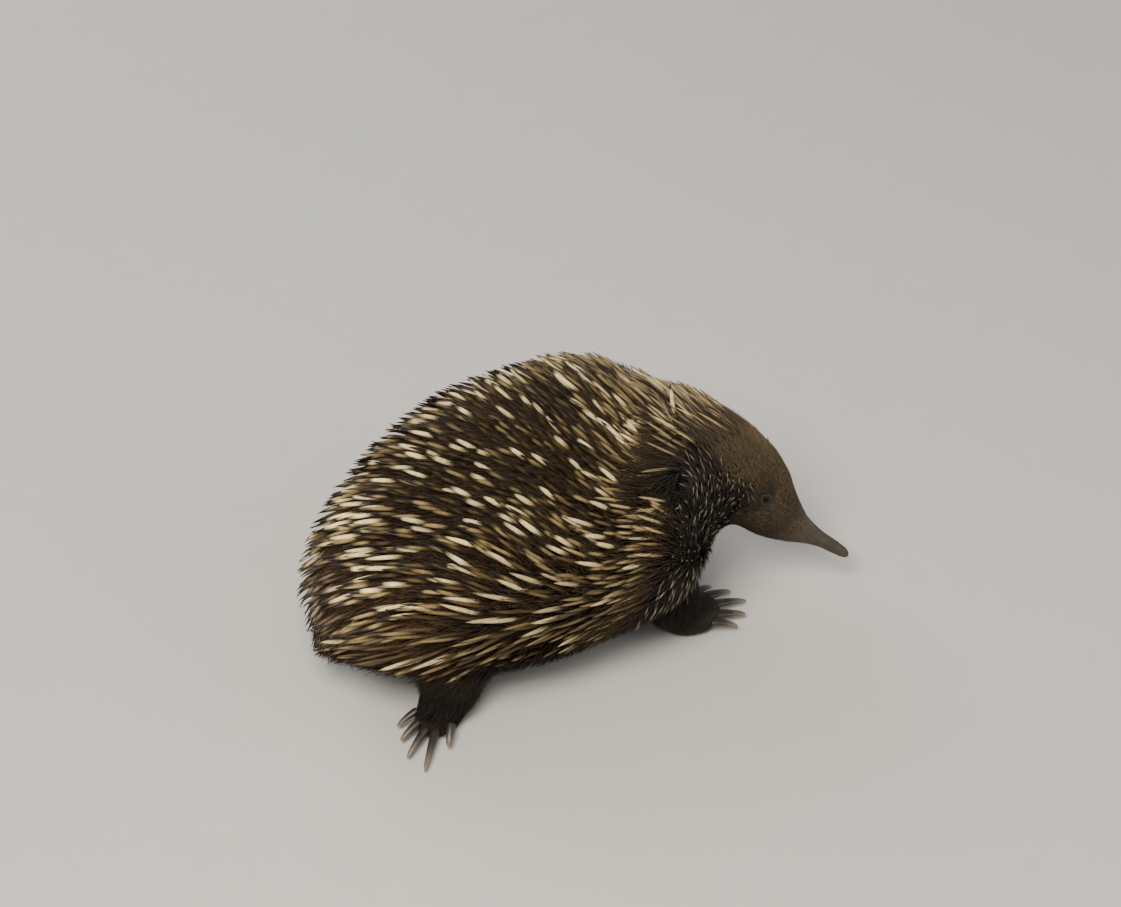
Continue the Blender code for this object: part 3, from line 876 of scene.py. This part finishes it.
def bare_places(points):
    """0 where no hair grows: the eyes' openings, the ear holes, the beak and the soles."""
    keep = ease(0.036, 0.070, behind_tip(points))
    keep *= ease(1.5 * MM, 4 * MM, points[:, 2])
    for eye in HEAD.eyes:
        keep *= ease(4.2 * MM, 7.0 * MM, size(points - eye))
    for ear in EARS:
        keep *= ease(1.8 * MM, 3.4 * MM, ear_distance(points, ear)[0])
    return keep


def thinned(roots, apart, rng):
    """The roots that stand at least so far from those taken before them."""
    taken = []
    places = np.empty((0, 3))
    for i in rng.permutation(len(apart)):
        if (size(places - roots.points[i]) >= apart[i]).all():
            taken.append(i)
            places = roots.points[taken]
    return np.array(sorted(taken))


# Spines by kind: share of all, radius in mm, colour of the root (dark as painted shade deep in the coat) and
# the shaft, and share of the length that is dark
SPINE_KINDS = (
    (0.31, 1.80, "4f3a1c", "efd89f", 0.23),
    (0.33, 1.45, "33240f", "9c8557", 0.28),
    (0.36, 1.35, "1f1409", "5b4829", 0.30),
)
BRIGHT, TAWNY, DARK = range(3)
# Bright spines give way to duller ones in these shares
FEWER_BRIGHT = {"rear": 0.28, "top": 0.21, "low": 0.20, "front": 0.10, "nape": 0.14}
SPINE_TIP = "150c06"
# Colours that the shafts take on in parts of the back, and how far
SHAFTS = {"nape": ("978159", 0.65), "front": ("bda873", 0.20), "rear": ("76604c", 0.8)}
LONGEST_SPINE = 54 * MM
# How many roots are tried in the room of one spine or bristle
ROOTS_TRIED = 8
BRISTLE_SPACING = 5.0 * MM
# How steeply spines stand, in degrees, over how much the skin under them faces up
SPINE_FACING = (-0.4, 0.2, 0.6, 0.84, 0.97)
SPINE_LIFT = (20, 29, 35, 40, 54)
# The spines round this place above the tail are dull and brown
RUMP_MIDDLE = (-0.165, 0.018, 0.065)


def spine_spacing(points):
    """Least distance between spines: they crowd towards the shoulders and the nape."""
    x = points[:, 0]
    front = 1 - ease(0.010, 0.060, behind_spine_edge(points))
    return (6.5 - 1.3 * ease(-0.04, 0.03, x) - 0.4 * ease(0.03, 0.09, x) - 0.4 * front) * MM


def mark_parts(spines):
    """How far each spine belongs to the parts of the back where the spines differ, from 0 to 1."""
    x, up = spines.points[:, 0], spines.normals[:, 2]
    spines.nape = ease(0.040, 0.090, x) * ease(0.2, 0.7, up)
    spines.low = 1 - ease(-0.05, 0.50, up)
    spines.top = ease(0.86, 0.98, up) * (1 - ease(0.02, 0.08, x))
    from_rump = size((spines.points - RUMP_MIDDLE) * (1, 1, 0.8))
    spines.rear = np.maximum(
        1 - ease(0.040, 0.056, from_rump), 1 - ease(0.036, 0.056, size(spines.points - TAIL_END))
    )
    spines.front = (1 - ease(0.020, 0.060, behind_spine_edge(spines.points))) * (1 - spines.nape)
    spines.hind = ease(0.085, 0.125, -x) * (1 - spines.rear)
    spines.by_ear = near_any(spines.points, [ear.middle for ear in EARS], 32 * MM)


def choose_kinds(spines):
    """Which of SPINE_KINDS each spine is."""
    pick, other = spines.vary[:, 0], spines.vary[:, 1]
    dimmer = sum(vars(spines)[part] * share for part, share in FEWER_BRIGHT.items())
    shares = np.cumsum([kind[0] for kind in SPINE_KINDS])
    kind = np.searchsorted(shares, np.minimum(mix(pick, 1, dimmer), 0.999))
    # On top of the back a few bright spines stand out from dark ones
    kind = np.where((kind == TAWNY) & (other < 0.60 * spines.top), DARK, kind)
    # Round the ears the spines are fine, brown and well combed, and none at the coat's edge is bright
    dull = spines.by_ear | (zone(spines.shares, "spiny") < 0.80)
    spines.kind = np.maximum(kind, TAWNY * dull)


def shape_spines(spines, rng):
    """Length, bend, turn to the side, height of the tip over the skin and radius of each spine."""
    vary = spines.vary
    lift = np.radians(np.interp(spines.normals[:, 2], SPINE_FACING, SPINE_LIFT))
    length = spines.depth * (0.90 + 0.18 * vary[:, 1]) / np.sin(lift)
    least = (30 + 6 * ease(0.0, 0.03, spines.points[:, 0])) * MM
    spines.length = np.clip(length, least * (0.9 + 0.2 * vary[:, 1]), LONGEST_SPINE)
    radius = np.array([kind[1] for kind in SPINE_KINDS])[spines.kind] * (0.88 + 0.24 * vary[:, 4]) * MM
    radius *= 1 - 0.35 * spines.nape - 0.15 * spines.rear - 0.18 * spines.front
    spines.radius = np.minimum(radius, spines.length / 17)
    spines.bend = 0.02 + 0.08 * vary[:, 2]
    spines.sway = 0.10 * np.clip(rng.normal(size=len(vary)), -2, 2) * (1 - 0.6 * spines.by_ear)
    spines.height = spines.depth * 0.95
    fit_heights(spines, (0.2 + 3.0 * vary[:, 3] ** 1.6) * MM, 3)


def spine_colours(spines):
    """Colours along each spine: darkened towards the root as painted shade deep in the coat, pale or brown
    along the shaft and dark at the tip.
    """
    vary, nape, low, front = spines.vary, spines.nape, spines.low, spines.front
    along = np.array(SPINE.stations)[None]
    dark_share = np.array([kind[4] for kind in SPINE_KINDS])[spines.kind] * (0.65 + 0.7 * vary[:, 5])
    dark_share *= (1 - 0.55 * low) * (1 - 0.60 * nape) * (1 - 0.40 * front)
    tip = ease(0, 0.10, along - (1 - dark_share[:, None]))
    pale_from = (0.37 - 0.10 * low - 0.26 * nape - 0.14 * front)[:, None]
    root = 1 - ease(pale_from, pale_from + 0.22, along)
    base, shaft = (np.array([linear(kind[i]) for kind in SPINE_KINDS])[spines.kind] for i in (2, 3))
    for part, (other, share) in SHAFTS.items():
        shaft = mix(shaft, linear(other), share * vars(spines)[part][:, None])
    tone = 0.74 + 0.45 * vary[:, 2] - 0.36 * nape * (vary[:, 4] < 0.5)
    tone *= (1 - 0.42 * spines.top * (spines.kind > BRIGHT)) * (1 + 0.22 * spines.hind) * (1 - 0.36 * low)
    shaft = shaft * tone[:, None]
    # Painted shade: the dark root colour, and the dimming over each spine's first half, stand for shade deep
    # in the coat
    colours = mix(shaft[:, None], base[:, None], root[:, :, None])
    colours = colours * (0.35 + 0.65 * ease(0.0, 0.5, along))[:, :, None]
    return mix(colours, linear(SPINE_TIP), tip[:, :, None])


def grow_spines(surface):
    """The stout spines of the back, thinned to an even spacing."""
    rng = np.random.default_rng(7)
    where = ease(0.30, 0.75, zone(surface.shares, "spiny"))
    for ear in EARS:
        where *= ease(12 * MM, 16 * MM, size(surface.points - ear.middle))
    spines = scatter(surface, ROOTS_TRIED / spine_spacing(surface.points) ** 2 * where, rng)
    apart = spine_spacing(spines.points) * (0.85 + 0.3 * rng.random(len(spines.points)))
    spines = chosen(spines, thinned(spines, apart, rng))
    spines.vary = rng.random((len(spines.points), 6))
    mark_parts(spines)
    choose_kinds(spines)
    shape_spines(spines, rng)
    # Where the coat's lie turns too sharply for a straight spine, none is set
    spines = chosen(spines, tips_outside(spines) < 2.2 * MM)
    return hair_mesh("spines", spines, spine_colours(spines), SPINE)


def grow_bristles(surface):
    """Fine grey bristles over the cheeks and the sides of the neck."""
    rng = np.random.default_rng(5)
    where = zone(surface.shares, "cheek") * ease(-0.6, -0.1, surface.normals[:, 2])
    for ear in EARS:
        where *= ease(5 * MM, 8 * MM, ear_distance(surface.points, ear)[0])
    bristles = scatter(surface, ROOTS_TRIED / BRISTLE_SPACING**2 * where**2, rng)
    bristles = chosen(bristles, thinned(bristles, np.full(len(bristles.points), 4.2 * MM), rng))
    vary = rng.random((len(bristles.points), 4))
    bristles.length = (11 + 6 * vary[:, 0]) * MM
    bristles.bend = 0.04 + 0.08 * vary[:, 1]
    bristles.sway = 0.2 * rng.normal(size=len(vary))
    bristles.height = bristles.depth * 0.9
    fit_heights(bristles, (0.1 + 1.2 * vary[:, 2]) * MM, 2)
    bristles.radius = (0.38 + 0.22 * vary[:, 3]) * MM
    light = np.array(BRISTLE.light)[:, None] * (0.35 + 0.75 * vary[:, 1])[:, None, None]
    return hair_mesh("bristles", bristles, linear(BRISTLE_GREY) * light, BRISTLE)


# Noise keeps mostly between these values
NOISE_SPAN = {"From Min": 0.3, "From Max": 0.7}
MULTIPLIED = {"data_type": "RGBA", "blend_type": "MULTIPLY"}
KERATIN_IOR = 1.55
LEATHER_IOR = 1.45
CORNEA_IOR = 1.376
PAPER_IOR = 1.5
# The pupil's radius, and where its soft edge has passed into the iris
PUPIL_RADIUS, PUPIL_EDGE = 1.2 * MM, 1.8 * MM
# Widths of the patterns on each finish. The growth rings of a claw follow its length.
SKIN_PATCH, CREASE_BEND, PEBBLE = 3.85 * MM, 2.0 * MM, 0.59 * MM
IRIS_FLECK = 0.4 * MM
CLAW_PATCH, CLAW_RING = 2.6 * MM, 0.9 * MM
HAIR_PATCH, HAIR_RIDGE = 1.1 * MM, 0.29 * MM
SPINE_PATCH, SPINE_SCUFF = 2.4 * MM, 0.45 * MM
PAPER_CLOUD = 25 * MM


def fill(tree, node, inputs):
    """Links inputs of a node to other nodes' outputs, or sets them to values."""
    for name, value in inputs.items():
        if isinstance(value, bpy.types.NodeSocket):
            tree.links.new(value, node.inputs[name])
        else:
            node.inputs[name].default_value = value


def add_node(tree, kind, inputs, output=0, **properties):
    """Adds a node with its properties and inputs, and gives one of its outputs."""
    made = tree.nodes.new("ShaderNode" + kind)
    for key, value in properties.items():
        setattr(made, key, value)
    fill(tree, made, inputs)
    return made.outputs[output]


def new_material(name, ior, specular):
    material = bpy.data.materials.new(name)
    material.use_nodes = True
    tree = material.node_tree
    shader = tree.nodes["Principled BSDF"]
    fill(tree, shader, {"IOR": ior, "Specular IOR Level": specular})
    place = add_node(tree, "TexCoord", {}, "Object")
    return SimpleNamespace(material=material, tree=tree, shader=shader, place=place)


def coat_material(name, patch, tones, gloss, ior, specular, relief=None):
    """A material in the piece's own colours, mottled in tone and in roughness in patches of one width.

    Relief is the width and detail of finer noise, the strength of its bump and the bump's height.
    """
    made = new_material(name, ior, specular)
    tree = made.tree
    made.noise = add_node(tree, "TexNoise", {"Vector": made.place, "Scale": 1 / patch, "Detail": 3.0})
    tone, roughness = (
        add_node(tree, "MapRange", {"Value": made.noise, **NOISE_SPAN, "To Min": least, "To Max": most})
        for least, most in (tones, gloss)
    )
    coat = add_node(tree, "Attribute", {}, "Color", attribute_name="coat")
    made.colour = add_node(tree, "Mix", {0: 1.0, 6: coat, 7: tone}, 2, **MULTIPLIED)
    fill(tree, made.shader, {"Base Color": made.colour, "Roughness": roughness})
    if relief:
        width, detail, strength, height = relief
        fine = add_node(tree, "TexNoise", {"Vector": made.place, "Scale": 1 / width, "Detail": detail})
        bump = add_node(tree, "Bump", {"Height": fine, "Strength": strength, "Distance": height})
        fill(tree, made.shader, {"Normal": bump})
    return made


def skin_material():
    """Dry leathery skin: small pebbles parted by creases on the beak, the lids and the feet."""
    # Rubbed places on the pebbles shine more than the dry creases
    made = coat_material("leathery_skin", SKIN_PATCH, (0.84, 1.16), (0.72, 0.52), LEATHER_IOR, 0.4)
    tree = made.tree
    bends = {"Vector": made.place, "Scale": 1 / CREASE_BEND, "Detail": 2.0}
    wander = add_node(tree, "TexNoise", bends, "Color")
    wander = add_node(tree, "VectorMath", {0: wander, "Scale": 0.6 * MM}, operation="SCALE")
    warped = add_node(tree, "VectorMath", {0: made.place, 1: wander}, operation="ADD")
    cells = {"Vector": warped, "Scale": 1 / PEBBLE}
    pebbles = add_node(tree, "TexVoronoi", cells, feature="DISTANCE_TO_EDGE")
    raised = add_node(tree, "MapRange", {"Value": pebbles, "From Max": 0.22})
    # Creases hold dirt and shade, so they are a little darker than the pebbles
    crease = add_node(tree, "MapRange", {"Value": pebbles, "From Max": 0.14, "To Min": 0.74})
    mixed = add_node(tree, "Mix", {0: 1.0, 6: made.colour, 7: crease}, 2, **MULTIPLIED)
    fine = add_node(tree, "Bump", {"Height": raised, "Strength": 0.3, "Distance": 0.08 * MM})
    lumps = {"Height": made.noise, "Normal": fine, "Strength": 0.5, "Distance": 0.4 * MM}
    broad = add_node(tree, "Bump", lumps)
    fill(tree, made.shader, {"Base Color": mixed, "Normal": broad})
    return made.material


def eye_material(front):
    """Wet cornea over a nearly black iris: a deep dark ball with one small clear highlight."""
    made = new_material("wet_eye", CORNEA_IOR, 0.16)
    tree = made.tree
    apart = add_node(tree, "VectorMath", {0: made.place, 1: front}, "Value", operation="DISTANCE")
    # The pupil is black, the iris round it dark brown with fine flecks
    share = add_node(tree, "MapRange", {"Value": apart, "From Min": PUPIL_RADIUS, "From Max": PUPIL_EDGE})
    flecks = add_node(tree, "TexNoise", {"Vector": made.place, "Scale": 1 / IRIS_FLECK, "Detail": 2.0})
    colours = {0: flecks, 6: (*linear("0f0a07"), 1), 7: (*linear("24170d"), 1)}
    iris = add_node(tree, "Mix", colours, 2, data_type="RGBA")
    colours = {0: share, 6: (*linear("050403"), 1), 7: iris}
    mixed = add_node(tree, "Mix", colours, 2, data_type="RGBA")
    wet = add_node(tree, "MapRange", {"Value": flecks, **NOISE_SPAN, "To Min": 0.05, "To Max": 0.09})
    fill(tree, made.shader, {"Base Color": mixed, "Roughness": wet})
    return made.material


def claw_material():
    """Dark horn, paler where the tip is worn, with growth rings across the claw."""
    made = coat_material("claw_horn", CLAW_PATCH, (0.78, 1.2), (0.34, 0.55), KERATIN_IOR, 0.5)
    tree = made.tree
    reach = add_node(tree, "Attribute", {}, "Fac", attribute_name="reach")
    # The noise bends the rings
    bent = add_node(tree, "Math", {0: made.noise, 1: 6.0}, operation="MULTIPLY_ADD")
    rings = {0: reach, 1: 2 * math.pi / CLAW_RING, 2: bent}
    rings = add_node(tree, "Math", rings, operation="MULTIPLY_ADD")
    wave = add_node(tree, "Math", {0: rings}, operation="SINE")
    ridges = add_node(tree, "Bump", {"Height": wave, "Strength": 0.25, "Distance": 0.02 * MM})
    fill(tree, made.shader, {"Normal": ridges})
    return made.material


CORNEA_BULGE = 0.22 * MM
# Middle line of the lids' rims over the eye's radius, and half their thickness
LID_RING = 0.77
LID_THICKNESS = 0.72 * MM
LID_SKIN, LID_EDGE = "2b231b", "0d0906"
CLAW_STEPS = 12
# How far a claw goes on inside its toe
CLAW_ROOT = 5 * MM
CLAW_HORN, CLAW_WORN = "2a221a", "75664c"


def make_eye(side_name, centre):
    """A dark wet eyeball with its cornea standing slightly proud."""
    sphere = {"segments": 40, "ring_count": 24, "radius": EYE_RADIUS * 0.985, "location": centre}
    eye = add_primitive(bpy.ops.mesh.primitive_uv_sphere_add, "eyeball_" + side_name, **sphere)
    bpy.ops.object.transform_apply(location=True, rotation=True, scale=True)
    points = points_of(eye.data)
    outward = unit(points - centre)
    bulge = CORNEA_BULGE * ease(0.82, 0.97, outward @ eye_look(centre)[0])
    set_points(eye.data, points + outward * bulge[:, None])
    eye.data.shade_smooth()
    return eye


def make_lids(side_name, centre):
    """The thick rims of both lids, laid on the eyeball round its opening; the upper one is the heavier."""
    out, along = eye_look(centre)
    rise = np.cross(out, along)
    rise *= np.sign(rise @ HEAD.up)
    ring = LID_RING * EYE_RADIUS
    lids = add_primitive(
        bpy.ops.mesh.primitive_torus_add, "eyelids_" + side_name,
        major_segments=60, minor_segments=14, major_radius=ring, minor_radius=LID_THICKNESS,
    )
    points = points_of(lids.data)
    place = unit(points * (1, 1, 0)) * ring
    section = points - place
    upper = ease(-0.3, 0.5, place[:, 1] / ring)
    section *= (1 + 0.25 * upper + 0.04 * np.sin(np.arctan2(place[:, 1], place[:, 0]) * 9))[:, None]
    # Sharp round the opening, and sloping outwards into the skin
    outward = dot(section, unit(place)) / LID_THICKNESS
    section[:, 2] *= np.where(outward > 0, 1 - 0.45 * outward, 1 + 0.30 * outward)
    section += unit(place) * (np.maximum(outward, 0) * 0.9 * MM)[:, None]
    # Pointed at the corners, and drawn down over the ball above
    place = place * (1.16, 0.80, 0) - np.outer(upper * (1 - np.abs(place[:, 0]) / ring), (0, 0.35 * MM, 0))
    apart = size(place)
    place[:, 2] = np.sqrt(np.maximum(EYE_RADIUS**2 - apart**2, 0)) + 0.10 * MM
    points = place + section
    # The colour of the rims' wet edges passes into that of the skin
    edge = 1 - ease(-0.5, 0.6, outward)
    set_points(lids.data, centre + points @ np.array((along, rise, out)))
    if np.dot(np.cross(along, rise), out) < 0:
        lids.data.flip_normals()
    lids.data.shade_smooth()
    keep_colours(lids.data, mix(linear(LID_SKIN), linear(LID_EDGE), edge[:, None]))
    return lids


def make_claw(name, line):
    """A horn claw drawn out of a disc inside the toe, narrowing and curving down to a worn tip."""
    along = line.tip - line.root
    length = size(along)
    start = line.root - along * (CLAW_ROOT / length)
    disc = {"vertices": 14, "radius": line.half_width, "fill_type": "NGON", "location": start}
    claw = add_primitive(bpy.ops.mesh.primitive_circle_add, name, **disc)
    claw.rotation_euler = (0, math.pi / 2, math.atan2(along[1], along[0]))
    bpy.ops.object.transform_apply(location=True, rotation=True, scale=True)
    bpy.ops.object.mode_set(mode="EDIT")
    bpy.ops.mesh.select_all(action="SELECT")
    flat = 0.62 if "fore" in name else 0.85
    bpy.ops.transform.resize(value=(1, 1, flat))
    whole = length + CLAW_ROOT
    drop = line.root[2] - line.tip[2]
    for step in range(1, CLAW_STEPS + 1):
        share, before = step / CLAW_STEPS, (step - 1) / CLAW_STEPS
        fall = drop * (share**1.8 - before**1.8)
        level = along * (1, 1, 0) / size(along[:2]) * whole / CLAW_STEPS
        bpy.ops.mesh.extrude_region_move(TRANSFORM_OT_translate={"value": (level[0], level[1], -fall)})
        shrink = claw_size(share) / claw_size(before)
        bpy.ops.transform.resize(value=(shrink, shrink, shrink * (1 - 0.02 * step / CLAW_STEPS)))
    bpy.ops.mesh.select_all(action="SELECT")
    bpy.ops.mesh.normals_make_consistent(inside=False)
    bpy.ops.object.mode_set(mode="OBJECT")
    apply_modifier(claw, "SUBSURF", levels=1, render_levels=1)
    claw.data.shade_smooth()
    reach = (points_of(claw.data) - start) @ along / length
    keep_values(claw.data, "reach", reach)
    worn = ease(0.35, 1.0, reach / whole)[:, None]
    keep_colours(claw.data, mix(linear(CLAW_HORN), linear(CLAW_WORN), worn))
    return claw


def claw_size(share):
    """Size of a claw's section at a share of its length, rounded off at the tip."""
    return (1 - 0.52 * share**1.25) * math.sqrt(max(1 - (max(share - 0.80, 0) / 0.21) ** 2.4, 0.02))


def make_camera():
    """A camera that gives the photograph's framing and angle."""
    right = Vector((math.cos(VIEW_AZIMUTH), math.sin(VIEW_AZIMUTH), 0))
    level_back = Vector((math.sin(VIEW_AZIMUTH), -math.cos(VIEW_AZIMUTH), 0))
    back = level_back * math.cos(VIEW_ELEVATION) + Vector((0, 0, math.sin(VIEW_ELEVATION)))
    up = back.cross(right)
    aim = TRUNK_MIDDLE + right * ((PHOTO_WIDTH / 2 - TRUNK_PIXEL[0]) / PIXELS_PER_METRE)
    aim += up * ((TRUNK_PIXEL[1] - PHOTO_HEIGHT / 2) / PIXELS_PER_METRE)
    data = bpy.data.cameras.new("camera")
    data.sensor_width = SENSOR_WIDTH_MM
    data.lens = PIXELS_PER_METRE * CAMERA_DISTANCE / PHOTO_WIDTH * SENSOR_WIDTH_MM
    camera = bpy.data.objects.new("camera", data)
    turn = Matrix((right, up, back)).transposed().to_4x4()
    camera.matrix_world = Matrix.Translation(aim + back * CAMERA_DISTANCE) @ turn
    bpy.context.scene.collection.objects.link(camera)
    bpy.context.scene.camera = camera


def make_light(name, place, width, power, colour):
    data = bpy.data.lights.new(name, "AREA")
    data.size = width
    data.energy = power
    data.color = colour
    light = bpy.data.objects.new(name, data)
    light.location = place
    light.rotation_euler = (TRUNK_MIDDLE - Vector(place)).to_track_quat("-Z", "Y").to_euler()
    bpy.context.scene.collection.objects.link(light)


def make_studio():
    """A pale floor and soft light from above."""
    floor = add_primitive(bpy.ops.mesh.primitive_plane_add, "floor", size=8)
    made = new_material("matt_studio_paper", PAPER_IOR, 0.5)
    clouds = add_node(made.tree, "TexNoise", {"Vector": made.place, "Scale": 1 / PAPER_CLOUD, "Detail": 6.0})
    colours = {0: clouds, 6: (*linear("c7c2b8"), 1), 7: (*linear("cbc6bc"), 1)}
    paper = add_node(made.tree, "Mix", colours, 2, data_type="RGBA")
    fill(made.tree, made.shader, {"Base Color": paper, "Roughness": 0.9})
    floor.data.materials.append(made.material)
    world = bpy.data.worlds.new("studio")
    world.use_nodes = True
    background = world.node_tree.nodes["Background"]
    fill(world.node_tree, background, {"Color": (*linear("dfe4ea"), 1), "Strength": 0.5})
    bpy.context.scene.world = world
    make_light("key", (-0.7, -0.7, 1.6), 0.7, 40, (1.0, 0.96, 0.90))
    make_light("fill", (1.3, -1.2, 1.0), 1.2, 9, (0.92, 0.96, 1.0))
    make_light("back", (-0.3, 1.5, 1.1), 1.2, 14, (0.96, 0.98, 1.0))


make_camera()
make_studio()
skin, ENVELOPE = make_skin()
detail_skin(skin)
surface = read_surface(skin, ENVELOPE)
root_colour, tip_colour = fur_colours(surface.points, surface.shares)
keep_colours(skin.data, root_colour * 0.5 + tip_colour * 0.5)
# Coarse hair of keratin: tufts of slightly different brown with a broad soft gloss, parted by fine ridges
# that are coarser than real hairs, so that they show
hair = coat_material(
    "coarse_hair", HAIR_PATCH, (0.72, 1.28), (0.62, 0.48), KERATIN_IOR, 0.28,
    relief=(HAIR_RIDGE, 1.0, 0.5, 0.1 * MM),
).material
# Solid keratin: pale horn passing into dark, scuffed, with a dull shine that wear takes off in patches a few
# millimetres long
spine_finish = coat_material(
    "spine_keratin", SPINE_PATCH, (0.82, 1.16), (0.40, 0.60), KERATIN_IOR, 0.3,
    relief=(SPINE_SCUFF, 2.0, 0.35, 0.08 * MM),
).material
skin_finish = skin_material()
skin.data.materials.clear()
skin.data.materials.append(skin_finish)
pieces = grow_fur(surface)
for piece in pieces:
    piece.data.materials.append(hair)
spines = grow_spines(surface)
spines.data.materials.append(spine_finish)
bristles = grow_bristles(surface)
bristles.data.materials.append(spine_finish)
pieces.append(bristles)
eyes = []
for side_name, centre in zip(("left", "right"), HEAD.eyes):
    eye = make_eye(side_name, centre)
    eye.data.materials.append(eye_material(centre + eye_look(centre)[0] * EYE_RADIUS))
    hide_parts("eye_" + side_name)
    eyes.append(eye)
    lids = make_lids(side_name, centre)
    lids.data.materials.append(skin_finish)
    eyes.append(lids)
claws = []
claw_finish = claw_material()
for name, line in CLAWS.items():
    claw = make_claw("horn_" + name[5:], line)
    claw.data.materials.append(claw_finish)
    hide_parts(name)
    claws.append(claw)
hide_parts(*COVERING)
for piece in [skin, spines, *pieces, *eyes, *claws]:
    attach(piece, "root")
